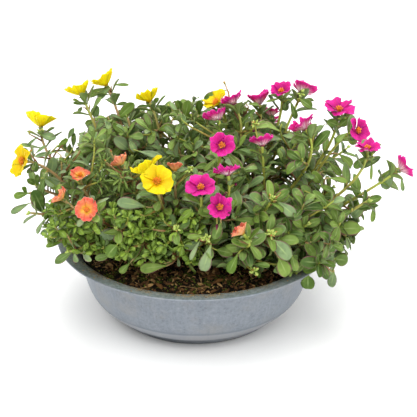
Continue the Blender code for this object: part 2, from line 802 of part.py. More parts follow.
def tube_stops(axis, start):
    """Where the tube's rings go: round each leaf joint and fork, and at bends between."""
    seats = {}
    for way, k, _ in axis.leaves:
        seats.setdefault(way, set()).add(k)
    spans = [(way, LEAF_SEAT, keep) for way, keep in seats.items()]
    spans += [(way, FORK_HEIGHT, {k}) for way, k in axis.forks]
    spans.sort(key=lambda span: span[0])
    end = axis.length
    stops = []
    last = start
    for way, height, keep in spans:
        gap = way - 0.5 * height - last
        bends = int(gap / BEND_SPACING)
        for i in range(bends):
            stops.append((last + gap * (i + 1) / (bends + 1), None, ()))
        stops.append((way - 0.5 * height, None, ()))
        stops.append((way + 0.5 * height, None, tuple(keep)))
        last = way + 0.5 * height
    if axis.end in BLOOMS:
        stops.append((end, CALYX_RADIUS, ()))
    else:
        stops.append((end - 0.5 * CALYX_LENGTH, BUD_RADIUS, ()))
        stops.append((end, BUD_TIP_RADIUS, ()))
    return stops


def grow_axis(bm, axis, pad, start, branches):
    """Build one axis with its leaves, and the branches that leave it."""
    _, kept = raise_tube(bm, pad, axis, tube_stops(axis, start))
    for way, k, sections in axis.leaves:
        seat = kept[(round(way + 0.5 * LEAF_SEAT, 6), k)]
        raise_blade(bm, seat, sections)
    for branch in branches:
        if branch.host in axis.forks and axis.host is None:
            way, k = branch.host
            seat = kept[(round(way + 0.5 * FORK_HEIGHT, 6), k)]
            collar = seat.raised(bm, branch.ring(COLLAR))
            grow_axis(bm, branch, collar, COLLAR, ())


def new_object(name, bm, material, matrix):
    """Turn a bmesh in world metres into a placed object with its own material."""
    bmesh.ops.transform(bm, matrix=matrix.inverted(), verts=bm.verts)
    bmesh.ops.triangulate(bm, faces=bm.faces[:], quad_method="FIXED", ngon_method="EAR_CLIP")
    mesh = bpy.data.meshes.new(name)
    bm.to_mesh(mesh)
    bm.free()
    item = bpy.data.objects.new(name, mesh)
    bpy.context.scene.collection.objects.link(item)
    item.parent = bpy.data.objects["potted_portulaca"]
    item.matrix_world = matrix
    mesh.materials.append(material)
    return item


def finish(name):
    """The Principled material for one of the colours above."""
    colour, roughness, metallic = COLOURS[name]
    material = bpy.data.materials.new(name)
    material.use_nodes = True
    shader = material.node_tree.nodes["Principled BSDF"]
    shader.inputs["Base Color"].default_value = colour
    shader.inputs["Roughness"].default_value = roughness
    shader.inputs["Metallic"].default_value = metallic
    return material


def build_leafy_stem(stem, axes, material):
    """One leafy stem: main stem, side branches and leaves in one closed mesh."""
    own = [axis for axis in axes if axis.stem == stem]
    main = own[0]
    foot, tangent, _, _ = main.frame(0.0)
    lower = [p - tangent * ROOT_DEPTH for p in main.ring(0.0)]
    bm = bmesh.new()
    pad = first_block(bm, lower, main.ring(0.0))
    grow_axis(bm, main, pad, 0.0, own[1:])
    new_object(stem, bm, material, Matrix.Translation(foot))


def build_bloom(name, material):
    """One bloom: five notched petals and the tuft of stamens on a small hub."""
    def ring(radius, height):
        turns = [FIRST_CORNER + 2.0 * math.pi * j / PETALS for j in range(PETALS)]
        return [Vector((radius * math.cos(t), radius * math.sin(t), height)) for t in turns]

    bloom = BLOOMS[name]
    bm = bmesh.new()
    hub = first_block(bm, ring(HUB_FOOT_RADIUS, 0.0), ring(HUB_RADIUS, HUB_HEIGHT))
    seats = [hub.side(k) for k in range(PETALS)]
    hub.raised(bm, ring(STAMEN_RADIUS, STAMEN_HEIGHT))
    for k, seat in enumerate(seats):
        sections, pull = petal_sections(bloom, k)
        pad = raise_blade(bm, seat, sections[:1])
        pad = pad.raised(bm, sections[1])
        notch_petal(bm, pad, pull)
    matrix = bloom_matrix(name)
    bmesh.ops.transform(bm, matrix=matrix, verts=bm.verts)
    new_object(name, bm, material, matrix)


def notch_petal(bm, pad, pull):
    """Pull a notch into a petal's end and split its flat sides alike from the notch."""
    low_left, low_right, high_right, high_left = pad.corners()
    under, over = pad.side(0), pad.side(2)
    under_root = under.corners()[:2]
    over_root = over.corners()[:2]
    pairs = ((low_left, low_right, under.face, under_root), (high_right, high_left, over.face, over_root))
    middles = []
    for a, b, face, root in pairs:
        edge = next(e for e in a.link_edges if e.other_vert(a) == b)
        _, middle = bmesh.utils.edge_split(edge, a, 0.5)
        middle.co += pull
        middles.append(middle)
        rest, _ = bmesh.utils.face_split(face, middle, root[0])
        side_face = rest if root[1] in rest.verts else face
        bmesh.utils.face_split(side_face, middle, root[1])
    bmesh.utils.face_split(pad.face, middles[0], middles[1])


# Bowl and soil

def sheet_profile():
    """Middle of the bowl's sheet from the foot up and out along the lip, radius and height."""
    half = 0.5 * SHEET
    return [
        (FOOT_RADIUS, half),
        (91.7 * MM, 11.5 * MM),
        (104.3 * MM, 24.5 * MM),
        (110.9 * MM, 41.5 * MM),
        (114.3 * MM, 61 * MM),
        (119 * MM, 72 * MM),
        (RIM_RADIUS - LIP_WIDTH, RIM_HEIGHT - half - LIP_RISE),
        (RIM_RADIUS - half, RIM_HEIGHT - half),
    ]


def sheet_side(distance):
    """One side of the bowl's sheet: its profile moved square to itself, up and in for a positive distance."""
    profile = [Vector(point) for point in sheet_profile()]
    runs = [Vector((1.0, 0.0))] + [(b - a).normalized() for a, b in zip(profile, profile[1:])]
    runs.append(runs[-1])
    moved = []
    for point, before, after in zip(profile, runs, runs[1:]):
        square = Vector((-before.y - after.y, before.x + after.x)).normalized()
        moved.append(point + square * (distance / square.dot(Vector((-after.y, after.x)))))
    return [tuple(point) for point in moved]


def spin_profile(bm, profile, segments):
    """Turn a profile about the vertical and close it at its two ends on the axis."""
    rings = []
    for radius, height in profile:
        turns = [2.0 * math.pi * i / segments for i in range(segments)]
        rings.append([bm.verts.new((radius * math.cos(t), radius * math.sin(t), height)) for t in turns])
    for lower, upper in zip(rings, rings[1:]):
        for i in range(segments):
            j = (i + 1) % segments
            bm.faces.new((lower[i], lower[j], upper[j], upper[i]))
    bm.faces.new(rings[0][::-1])
    bm.faces.new(rings[-1])
    return rings


def cut(item, cutter, name):
    """Cut one object with another, which stays as a hidden guide."""
    modifier = item.modifiers.new(name, "BOOLEAN")
    modifier.operation = "DIFFERENCE"
    modifier.solver = "EXACT"
    modifier.object = cutter
    cutter.hide_render = True
    cutter.hide_viewport = True
    cutter.display_type = "WIRE"


def add_rod(bm, start, end, radius, sides):
    """A plain closed rod between two points."""
    tangent = (end - start).normalized()
    side = square_to(Vector((1.0, 0.3, 0.1)), tangent)
    across = tangent.cross(side)
    turns = [2.0 * math.pi * j / sides for j in range(sides)]
    around = [side * (radius * math.cos(t)) + across * (radius * math.sin(t)) for t in turns]
    first_block(bm, [start + a for a in around], [end + a for a in around])


def build_bowl(material):
    """The zinc bowl with drain holes in its floor."""
    bm = bmesh.new()
    bead = [(RIM_RADIUS, RIM_HEIGHT - 0.5 * SHEET)]
    spin_profile(bm, sheet_side(-0.5 * SHEET) + bead + sheet_side(0.5 * SHEET)[::-1], BOWL_SEGMENTS)
    bowl = new_object("bowl", bm, material, Matrix.Identity(4))
    bowl.data.shade_smooth()
    bowl.data.set_sharp_from_angle(angle=SMOOTH_ANGLE)
    bm = bmesh.new()
    for i in range(DRAIN_HOLES):
        turn = 2.0 * math.pi * (i + 0.5) / DRAIN_HOLES
        spot = Vector((math.cos(turn), math.sin(turn), 0.0)) * DRAIN_RING_RADIUS
        add_rod(bm, spot - UP * SHEET, spot + UP * (3 * SHEET), DRAIN_HOLE_RADIUS, DRAIN_HOLE_SIDES)
    cut(bowl, new_object("drain_hole_guides", bm, material, Matrix.Identity(4)), "drain_holes")


def build_soil(axes, material):
    """The soil with a plain hole for each stem."""
    bm = bmesh.new()
    wall = sheet_side(0.5 * SHEET + CLEARANCE)[:SOIL_WALL_POINTS]
    shares = [1.0 - i / (SOIL_RINGS + SOIL_INNERMOST) for i in range(SOIL_RINGS + 1)]
    surface = [(SOIL_RADIUS * share, SOIL_EDGE_HEIGHT) for share in shares]
    rings = spin_profile(bm, wall + surface, SOIL_SEGMENTS)
    top = rings[SOIL_WALL_POINTS:]
    for ring in top:
        for vert in ring:
            vert.co.z = soil_height(vert.co.x, vert.co.y)
    soil = new_object("soil", bm, material, Matrix.Identity(4))
    bm = bmesh.new()
    for axis in axes:
        if axis.host is None:
            foot, tangent, _, _ = axis.frame(0.0)
            radius = (STEM_RADIUS + CLEARANCE) / math.cos(math.pi / HOLE_SIDES)
            low = foot - tangent * (ROOT_DEPTH + CLEARANCE)
            add_rod(bm, low, foot + tangent * HOLE_RISE, radius, HOLE_SIDES)
    cut(soil, new_object("stem_hole_guides", bm, material, Matrix.Identity(4)), "stem_holes")


def main():
    """Clear the scene and build the potted plant."""
    for item in list(bpy.data.objects):
        bpy.data.objects.remove(item, do_unlink=True)
    root = bpy.data.objects.new("potted_portulaca", None)
    bpy.context.scene.collection.objects.link(root)
    axes = lay_stems()
    lay_leaves(axes)
    build_bowl(finish("zinc"))
    build_soil(axes, finish("soil"))
    for stem in STEMS:
        build_leafy_stem(stem, axes, finish("foliage"))
    for name, bloom in BLOOMS.items():
        build_bloom(name, finish(bloom[0]))


main()
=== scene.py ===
import math
import random
from collections import namedtuple

import bmesh
import bpy
import numpy as np
from mathutils import Matrix, Vector, noise
from mathutils.bvhtree import BVHTree


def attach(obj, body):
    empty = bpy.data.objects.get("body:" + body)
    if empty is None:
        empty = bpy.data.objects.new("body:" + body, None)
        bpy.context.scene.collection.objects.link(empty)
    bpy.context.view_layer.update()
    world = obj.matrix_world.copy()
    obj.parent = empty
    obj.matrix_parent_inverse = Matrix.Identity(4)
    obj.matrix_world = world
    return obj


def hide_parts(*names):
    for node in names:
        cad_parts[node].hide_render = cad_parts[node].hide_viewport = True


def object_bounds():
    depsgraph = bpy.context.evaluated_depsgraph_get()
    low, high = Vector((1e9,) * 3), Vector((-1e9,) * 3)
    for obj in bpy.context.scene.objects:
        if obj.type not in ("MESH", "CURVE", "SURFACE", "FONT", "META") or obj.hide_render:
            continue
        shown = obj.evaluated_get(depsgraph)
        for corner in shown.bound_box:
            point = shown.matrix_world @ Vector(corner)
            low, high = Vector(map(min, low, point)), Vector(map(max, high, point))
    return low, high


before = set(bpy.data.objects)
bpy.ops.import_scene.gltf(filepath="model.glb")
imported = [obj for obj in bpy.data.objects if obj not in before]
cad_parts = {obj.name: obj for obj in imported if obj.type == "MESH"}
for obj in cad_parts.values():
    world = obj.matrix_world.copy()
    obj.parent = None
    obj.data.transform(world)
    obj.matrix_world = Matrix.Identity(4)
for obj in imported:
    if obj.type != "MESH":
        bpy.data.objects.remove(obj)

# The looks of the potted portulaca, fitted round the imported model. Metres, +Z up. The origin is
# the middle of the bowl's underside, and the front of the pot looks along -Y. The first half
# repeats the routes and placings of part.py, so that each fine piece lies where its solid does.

CAD_BOX = [[float(v) for v in corner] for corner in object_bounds()]

MM = 0.001
UP = Vector((0.0, 0.0, 1.0))

# Bowl: a spun sheet with a flat turned-out lip
SHEET = 1.5 * MM
FOOT_RADIUS = 80 * MM
RIM_RADIUS = 138 * MM
RIM_HEIGHT = 81 * MM
LIP_WIDTH = 13 * MM
LIP_RISE = 1.2 * MM
DRAIN_HOLES = 4
DRAIN_HOLE_RADIUS = 4 * MM
DRAIN_RING_RADIUS = 45 * MM

# Soil
SOIL_EDGE_HEIGHT = 71 * MM
SOIL_MOUND = 5 * MM
SOIL_RADIUS = 114.6 * MM
SOIL_LUMP = 0.9 * MM
SOIL_WAVES = (9 * MM, 11 * MM)
SOIL_WAVE_SHIFT = 0.6
SOIL_WALL_POINTS = 5
CLEARANCE = 0.35 * MM

# Stems
ROOT_SPREAD = 0.42
ROOT_SPREAD_LIMIT = 84 * MM
ROOT_SPACING = 9.5 * MM
STEM_LEAN = 5.2
STEM_SIDES = 4
STEM_RADIUS = 2.1 * MM
STEM_TIP_RADIUS = 1.15 * MM
BRANCH_RADIUS = 1.4 * MM
AXIS_GAP = 1.0 * MM
FIRST_CORNER = math.radians(225.0)
FORK_HEIGHT = 3.2 * MM
COLLAR = 5.0 * MM
CALYX_LENGTH = 6.0 * MM
CALYX_RADIUS = 1.9 * MM

# Routes: how far the curve's handles reach as shares of the span, where branches leave as
# shares of their parent, and how tries that fail are shaken
FOOT_HANDLE = 0.38
END_HANDLE = 0.28
END_STEADINESS = 2.0
FORK_HANDLE = 0.33
FORK_END_HANDLE = 0.3
FORK_ALONG = 0.9
FORK_TOWARDS = 0.6
FORK_PLACE = 0.34
FORK_PLACES = (0.22, 0.62)
FORK_WANDER = (-0.12, 0.22)
FORK_WANDER_SHAKE = 10 * MM
FORK_SPACING = 2.6 * FORK_HEIGHT
ROUTE_TRIES = 160
FIRST_SHAKE = 2 * MM
SHAKE_STEP = 0.25 * MM
MOST_SHAKE = 24 * MM
HANDLE_SHAKE = 1.5
SAMPLE_STEP = 3 * MM
FORK_SKIP = 9 * MM
FOOT_SKIP = 5 * MM
GROUND_GAP = 3 * MM
UNDER_LIP = 0.4 * RIM_HEIGHT
BLOOM_KEEP_OUT = 0.6
BLOOM_AHEAD = 5 * MM
BRANCH_INSET = 0.8
ENVELOPE_STEP = 8 * MM
ENVELOPE_RINGS = 4

# Leaves
LEAF_THICKNESS = 0.9 * MM
LEAF_WIDEST = 0.62
LEAF_SAG = 0.04
LEAF_TIP = 0.2
LEAF_TIP_THICKNESS = 0.8 * LEAF_THICKNESS
LEAF_LENGTHS = (17, 25)
WHORL_LEAF_LENGTHS = (13, 21)
LEAF_WIDTHS = (0.42, 0.5)
LEAF_CLIMBS = (15, 50)
LEAF_DROOPS = (0.0, 0.5)
LEAF_SWINGS = (-0.25, 0.25)
LEAF_RISE = 0.3
LEAST_OUTWARD = 0.35
LEAF_SHRINK = 0.045
LEAF_GAP = 0.35 * MM
LEAF_GAP_OVER = 1.6 * LEAF_GAP
LEAF_STARTS = (0.1, 0.35)
WHORL_DROP = 9.0 * MM
FIRST_PAIR_DROP = 11.0 * MM
STEM_PAIR_SPACING = 27.0 * MM
BRANCH_PAIR_SPACING = 15.0 * MM
STEM_PAIRS = 2
BRANCH_PAIRS = 1
JOINT_STEP = 2 * MM
FORK_ROOM = 1.6 * FORK_HEIGHT
LEAF_GROUND_GAP = 1.0 * MM
LOWEST_LEAF = 14 * MM
LOWEST_BRANCH_LEAF = 1.5 * COLLAR
TRIES_PER_LEAF = 10

# Petals
PETALS = 5
PETAL_THICKNESS = 0.8 * MM
HUB_RADIUS = 2.3 * MM
HUB_HEIGHT = 1.1 * MM
PETAL_WIDEST = 0.62
PETAL_HALF_WIDTHS = (0.52, 0.34)
PETAL_STEPS = 12
SECTOR_FILL = 0.95

SEED = 7

# Blooms: colour, centre (mm), facing azimuth and elevation, radius (mm),
# and the petals' angle above the flat at their base and at their tip
BLOOMS = {
    "yellow_1": ("yellow", (-150, 10, 196), 180, 60, 14.5, 64, 32),
    "yellow_2": ("yellow", (-162, -50, 181), -58, 18, 15.0, 62, 6),
    "yellow_3": ("yellow", (-112, 20, 224), -128, 60, 12.5, 66, 34),
    "yellow_4": ("yellow", (-90, 40, 226), -126, 56, 13.0, 66, 32),
    "yellow_5": ("yellow", (-47, 40, 209), -134, 60, 12.5, 66, 30),
    "yellow_6": ("yellow", (-34, -115, 190), 6, 48, 14.8, 60, 4),
    "yellow_7": ("yellow", (-45, -90, 191), -112, 52, 14.5, 64, 26),
    "yellow_8": ("yellow", (19, 20, 212), -70, 52, 13.0, 66, 16),
    "yellow_9": ("yellow", (-59, 105, 150), 170, 50, 14.0, 62, 6),
    "magenta_1": ("magenta", (24, -85, 212), 2, 38, 12.0, 60, 6),
    "magenta_2": ("magenta", (5, -115, 184), -3, 66, 13.4, 60, 8),
    "magenta_3": ("magenta", (22, -120, 167), 12, 34, 11.8, 62, 8),
    "magenta_4": ("magenta", (29, -93, 190), -150, 66, 11.5, 66, 26),
    "magenta_5": ("magenta", (35, 0, 222), -127, 54, 12.0, 66, 28),
    "magenta_6": ("magenta", (20, -14, 211), -150, 50, 11.5, 66, 30),
    "magenta_7": ("magenta", (61, 30, 211), -150, 66, 10.5, 68, 42),
    "magenta_8": ("magenta", (82, 20, 224), -24, 72, 11.0, 64, 26),
    "magenta_9": ("magenta", (105, 40, 216), 150, 34, 12.5, 64, 26),
    "magenta_10": ("magenta", (74, 38, 194), 176, 58, 9.0, 68, 36),
    "magenta_11": ("magenta", (101, -30, 208), -132, 42, 13.0, 66, 24),
    "magenta_12": ("magenta", (62, -40, 196), 190, 62, 12.0, 66, 26),
    "magenta_13": ("magenta", (136, -8, 216), 8, 84, 15.0, 62, 10),
    "magenta_14": ("magenta", (152, -34, 205), 52, 28, 12.5, 62, 10),
    "magenta_15": ("magenta", (159, -58, 198), -6, 84, 12.0, 64, 16),
    "magenta_16": ("magenta", (195, -40, 169), 112, 28, 12.0, 66, 22),
    "magenta_17": ("magenta", (75, 108, 152), 200, 48, 13.0, 62, 8),
    "coral_1": ("coral", (-70, -60, 185), -128, 50, 9.0, 68, 34),
    "coral_2": ("coral", (-106, -80, 180), -5, 76, 9.8, 64, 14),
    "coral_3": ("coral", (-124, -90, 163), -100, 42, 9.5, 66, 26),
    "coral_4": ("coral", (-98, -115, 162), 6, 32, 10.6, 62, 8),
    "coral_5": ("coral", (-19, -70, 184), 180, 62, 7.2, 70, 44),
    "coral_6": ("coral", (41, -120, 143), -110, 50, 9.0, 68, 34),
}

# Leafy shoots with a bud at their end: end (mm), and the azimuth and elevation they point to
SHOOTS = {
    "left_high": ((-155, -38, 152), -75, 45),
    "left_long": ((-157, -72, 138), -80, 15),
    "left_low": ((-137, -84, 128), -55, 35),
    "left_rim": ((-119, -100, 112), -45, 25),
    "left_back": ((-68, 26, 196), -110, 70),
    "front_coral": ((-73, -104, 138), -20, 45),
    "front_yellow": ((-53, -100, 118), -20, 35),
    "front_moss": ((-21, -98, 104), -10, 35),
    "front_middle": ((-18, -108, 141), 0, 50),
    "front_magenta": ((11, -108, 126), 5, 40),
    "middle_top": ((-12, 28, 201), -40, 75),
    "middle_back": ((1, 60, 188), 180, 70),
    "top_right": ((48, 20, 204), 60, 75),
    "right_top": ((101, 4, 184), 100, 65),
    "right_bud": ((69, -106, 136), 20, 55),
    "right_tall_bud": ((71, -96, 166), 25, 60),
    "right_leafy": ((105, -88, 134), 40, 45),
    "low_bud": ((53, -96, 96), 15, 25),
    "right_low": ((125, -72, 98), 60, 10),
    "right_out": ((145, -58, 118), 70, 25),
    "right_middle": ((132, -40, 150), 60, 45),
    "right_far": ((163, -66, 148), 65, 35),
    "back_high_left": ((-43, 78, 172), -160, 60),
    "back_high_right": ((65, 76, 174), 160, 60),
    "back_left": ((-95, 95, 142), -140, 45),
    "back_far_left": ((-139, 58, 150), -110, 40),
    "back_dip": ((-31, 134, 132), -170, 35),
    "back_middle": ((13, 138, 138), 180, 35),
    "back_middle_high": ((9, 98, 160), 175, 65),
    "back_right_dip": ((49, 136, 130), 165, 35),
    "back_right": ((121, 92, 148), 135, 40),
    "back_far_right": ((153, 50, 152), 110, 40),
}

# Each leafy stem and the ends it carries, its own first and then its side branches'
STEMS = {
    "stem_1": ("yellow_1", "left_high"),
    "stem_2": ("yellow_2", "left_long"),
    "stem_3": ("yellow_3", "yellow_4", "left_back"),
    "stem_4": ("coral_3", "left_low", "left_rim"),
    "stem_5": ("coral_2", "coral_4"),
    "stem_6": ("coral_1", "front_coral"),
    "stem_7": ("yellow_5", "middle_top", "back_high_left"),
    "stem_8": ("yellow_6", "yellow_7", "front_yellow"),
    "stem_9": ("coral_5", "front_middle"),
    "stem_10": ("yellow_8", "middle_back"),
    "stem_11": ("magenta_5", "magenta_6", "top_right"),
    "stem_12": ("magenta_1", "magenta_4"),
    "stem_13": ("magenta_2", "front_magenta"),
    "stem_14": ("magenta_3", "front_moss"),
    "stem_15": ("magenta_8", "magenta_7", "magenta_10"),
    "stem_16": ("magenta_9", "right_top", "back_high_right"),
    "stem_17": ("magenta_11", "magenta_12"),
    "stem_18": ("magenta_13", "magenta_14"),
    "stem_19": ("magenta_15", "right_middle"),
    "stem_20": ("magenta_16", "right_far"),
    "stem_21": ("coral_6", "low_bud"),
    "stem_22": ("right_tall_bud", "right_bud", "right_leafy"),
    "stem_23": ("right_out", "right_low"),
    "stem_24": ("yellow_9", "back_left", "back_far_left"),
    "stem_25": ("back_middle_high", "back_dip", "back_middle"),
    "stem_26": ("magenta_17", "back_right_dip", "back_right", "back_far_right"),
}


# Small geometry helpers

def pointing(azimuth, elevation):
    """The unit vector at an azimuth and elevation in degrees."""
    around = math.radians(azimuth)
    above = math.radians(elevation)
    level = math.cos(above)
    return Vector((math.sin(around) * level, -math.cos(around) * level, math.sin(above)))


def square_to(vector, axis):
    """The unit vector nearest to vector that is square to axis."""
    return (vector - axis * vector.dot(axis)).normalized()


def soil_height(x, y):
    """Height of the soil's surface, mounded and a little lumpy."""
    mound = SOIL_MOUND * (1.0 - (x * x + y * y) / SOIL_RADIUS**2)
    lumps = math.sin(x / SOIL_WAVES[0]) * math.cos(y / SOIL_WAVES[1] + SOIL_WAVE_SHIFT)
    return SOIL_EDGE_HEIGHT + mound + SOIL_LUMP * lumps


# Centre lines of the stems and branches

class Axis:
    """One stem or branch: a smooth centre line, its thickness and what its end carries."""

    SAMPLES = 28

    def __init__(self, stem, end, controls, thick, side_hint):
        self.stem = stem
        self.end = end
        self.thick = thick
        self.thin = STEM_TIP_RADIUS
        self.host = None
        self.forks = []
        self.leaves = []
        points = []
        first, second, third, fourth = controls
        for i in range(self.SAMPLES + 1):
            t = i / self.SAMPLES
            u = 1.0 - t
            points.append(first * u**3 + second * (3 * u * u * t) + third * (3 * u * t * t) + fourth * t**3)
        self.points = points
        self.ways = [0.0]
        for a, b in zip(points, points[1:]):
            self.ways.append(self.ways[-1] + (b - a).length)
        self.length = self.ways[-1]
        steps = [(b - a).normalized() for a, b in zip(points, points[1:])]
        tangents = [(second - first).normalized()]
        tangents += [(a + b).normalized() for a, b in zip(steps, steps[1:])]
        tangents.append((fourth - third).normalized())
        self.tangents = tangents
        side = square_to(side_hint, tangents[0])
        self.side_vectors = []
        for tangent in tangents:
            side = square_to(side, tangent)
            self.side_vectors.append(side)

    def frame(self, way):
        """Point, tangent, side and across vectors at a distance along the axis."""
        way = min(max(way, 0.0), self.length)
        i = 0
        while i < self.SAMPLES - 1 and self.ways[i + 1] < way:
            i += 1
        t = (way - self.ways[i]) / (self.ways[i + 1] - self.ways[i])
        point = self.points[i].lerp(self.points[i + 1], t)
        tangent = self.tangents[i].lerp(self.tangents[i + 1], t).normalized()
        side = square_to(self.side_vectors[i].lerp(self.side_vectors[i + 1], t), tangent)
        return point, tangent, side, tangent.cross(side)

    def radius(self, way):
        """Thickness tapers evenly from the foot to the calyx, which swells again."""
        if way > self.length - CALYX_LENGTH:
            return CALYX_RADIUS
        return self.thick + (self.thin - self.thick) * way / self.length

    def ring(self, way, radius=None):
        """Corners of the cross-section at a distance along the axis."""
        point, _, side, across = self.frame(way)
        if radius is None:
            radius = self.radius(way)
        corners = []
        for j in range(STEM_SIDES):
            turn = FIRST_CORNER + 2.0 * math.pi * j / STEM_SIDES
            corners.append(point + side * (radius * math.cos(turn)) + across * (radius * math.sin(turn)))
        return corners

    def face_outward(self, way, k):
        """Outward direction of side face k."""
        _, _, side, across = self.frame(way)
        turn = FIRST_CORNER + 2.0 * math.pi * (k + 0.5) / STEM_SIDES
        return side * math.cos(turn) + across * math.sin(turn)


def end_of(name):
    """Where an axis ends and which way it points there: under a bloom, or in a bud."""
    if name in BLOOMS:
        base, facing = bloom_base(name)
        return base - facing * CLEARANCE, facing
    place, azimuth, elevation = SHOOTS[name]
    return Vector(place) * MM, pointing(azimuth, elevation)


def foot_of(name):
    """Where the stem that ends at a name leaves the soil, and its slant there."""
    end, _ = end_of(name)
    level = Vector((end.x, end.y, 0.0)) * ROOT_SPREAD
    if level.length > ROOT_SPREAD_LIMIT:
        level *= ROOT_SPREAD_LIMIT / level.length
    slant = Vector((end.x, end.y, 0.0)) * STEM_LEAN + UP
    return level, slant.normalized()


def below_ground(point, margin):
    """True where a point is in the soil or in the bowl's lip, or would touch them."""
    reach = math.hypot(point.x, point.y)
    if reach < RIM_RADIUS - LIP_WIDTH - SHEET:
        return point.z < soil_height(point.x, point.y) + margin
    if reach < RIM_RADIUS + margin:
        return point.z < RIM_HEIGHT + margin
    return point.z < UNDER_LIP


def route_is_clear(axis, skip_start, others, keep_outs):
    """True if an axis passes clear of the other axes, the blooms and the soil."""
    mine = [(axis.frame(w)[0], axis.radius(w)) for w in np.arange(skip_start, axis.length, SAMPLE_STEP)]
    places = np.array([p[:] for p, _ in mine])
    thick = np.array([r for _, r in mine])
    for other_places, other_thick in others:
        apart = np.linalg.norm(places[:, None, :] - other_places[None, :, :], axis=2)
        room = apart - thick[:, None] - other_thick[None, :]
        if room.min() < AXIS_GAP:
            return False
    for name, centre, size, tree in keep_outs:
        if name == axis.end:
            continue
        if np.linalg.norm(places - centre, axis=1).min() < size + STEM_RADIUS:
            return False
        for point, radius in mine:
            if tree.find_nearest(point, radius + AXIS_GAP)[0] is not None:
                return False
    for point, _ in mine:
        if below_ground(point, GROUND_GAP):
            return False
    return True


def sampled(axis):
    """Places and radii along an axis, for clearance tests."""
    ways = np.arange(0.0, axis.length, SAMPLE_STEP)
    places = np.array([axis.frame(w)[0][:] for w in ways])
    return places, np.array([axis.radius(w) for w in ways])


def shaken(rng, size):
    """A random vector with coordinates up to a size."""
    return Vector((rng.uniform(-1, 1), rng.uniform(-1, 1), rng.uniform(-1, 1))) * size


def make_stem_axis(stem, end_name, rng, shake):
    """A main stem from its foot in the soil to its end, with a random bend."""
    level, slant = foot_of(end_name)
    end, pointing_to = end_of(end_name)
    level = level + Vector((rng.uniform(-1, 1), rng.uniform(-1, 1), 0.0)) * shake
    foot = Vector((level.x, level.y, soil_height(level.x, level.y)))
    span = (end - foot).length
    second = foot + slant * (FOOT_HANDLE * span) + shaken(rng, HANDLE_SHAKE * shake)
    slant = (second - foot).normalized()
    third = end - pointing_to * (END_HANDLE * span) + shaken(rng, HANDLE_SHAKE * shake)
    arriving = (pointing_to * END_STEADINESS + (end - third).normalized()).normalized()
    third = end - arriving * (END_HANDLE * span)
    side = square_to(Vector((1.0, 0.3, 0.0)), slant)
    return Axis(stem, end_name, (foot, second, third, end), STEM_RADIUS, side)


def make_branch_axis(parent, end_name, rng, shake):
    """A side branch that leaves its parent at a leaf joint and turns to its own end."""
    end, pointing_to = end_of(end_name)
    share = FORK_PLACE + rng.uniform(*FORK_WANDER) * shake / FORK_WANDER_SHAKE
    way = parent.length * min(max(share, FORK_PLACES[0]), FORK_PLACES[1])
    point, tangent, _, _ = parent.frame(way)
    towards = square_to(end - point, tangent)
    best = max(range(STEM_SIDES), key=lambda k: parent.face_outward(way, k).dot(towards))
    outward = parent.face_outward(way, best)
    leaving = outward + tangent * FORK_ALONG + (end - point).normalized() * FORK_TOWARDS
    leaving.normalize()
    start = point + outward * parent.radius(way) * BRANCH_INSET
    span = (end - start).length
    second = start + leaving * (FORK_HANDLE * span) + shaken(rng, shake)
    third = end - pointing_to * (FORK_END_HANDLE * span)
    side = square_to(tangent.cross(outward), (second - start).normalized())
    axis = Axis(parent.stem, end_name, (start, second, third, end), BRANCH_RADIUS, side)
    axis.host = (way, best)
    return axis


def lay_stems():
    """Routes for every stem and branch, each bent clear of those already laid."""
    rng = random.Random(SEED)
    keep_outs = []
    for name in BLOOMS:
        base, facing = bloom_base(name)
        size = BLOOM_KEEP_OUT * BLOOMS[name][4] * MM
        tree = BVHTree.FromPolygons(*bloom_surface(name))
        keep_outs.append((name, np.array((base + facing * BLOOM_AHEAD)[:]), size, tree))
    axes = []
    laid = []
    for branches in (False, True):
        for stem, ends in STEMS.items():
            for end_name in ends[1:] if branches else ends[:1]:
                parent = next((a for a in axes if a.stem == stem and a.host is None), None)
                shake = FIRST_SHAKE
                for _ in range(ROUTE_TRIES):
                    if branches:
                        axis = make_branch_axis(parent, end_name, rng, shake)
                        taken = [f for f in parent.forks if abs(f[0] - axis.host[0]) < FORK_SPACING]
                        clear = not taken and route_is_clear(axis, FORK_SKIP, laid, keep_outs)
                    else:
                        axis = make_stem_axis(stem, end_name, rng, shake)
                        feet = [a.points[0] for a in axes]
                        clear = all((axis.points[0] - foot).length > ROOT_SPACING for foot in feet)
                        clear = clear and route_is_clear(axis, FOOT_SKIP, laid, keep_outs)
                    if clear:
                        break
                    shake = min(shake + SHAKE_STEP, MOST_SHAKE)
                else:
                    raise RuntimeError(f"no clear way for {stem} to {end_name}")
                axes.append(axis)
                laid.append(sampled(axis))
                if branches:
                    parent.forks.append(axis.host)
    return axes


# Leaves

def leaf_sections(root, outward, tangent, side, length, width, climb, droop, swing):
    """Two cross-sections of a leaf blade, widest part and tip, four corners each."""
    leaning = outward * math.cos(climb) + tangent * math.sin(climb)
    direction = (leaning + UP * LEAF_RISE + side * swing).normalized()
    across = square_to(side, direction)
    normal = direction.cross(across)
    if normal.dot(tangent) < 0.0:
        normal = -normal
    middle = root + direction * (LEAF_WIDEST * length) - normal * (LEAF_SAG * length)
    fallen = (direction - normal * droop).normalized()
    tip = middle + fallen * ((1.0 - LEAF_WIDEST) * length)
    sections = []
    for centre, half, thickness in ((middle, 0.5 * width, LEAF_THICKNESS),
                                    (tip, LEAF_TIP * width, LEAF_TIP_THICKNESS)):
        lift = normal * (0.5 * thickness)
        reach = across * half
        sections.append([centre - reach - lift, centre + reach - lift,
                         centre + reach + lift, centre - reach + lift])
    return direction, sections


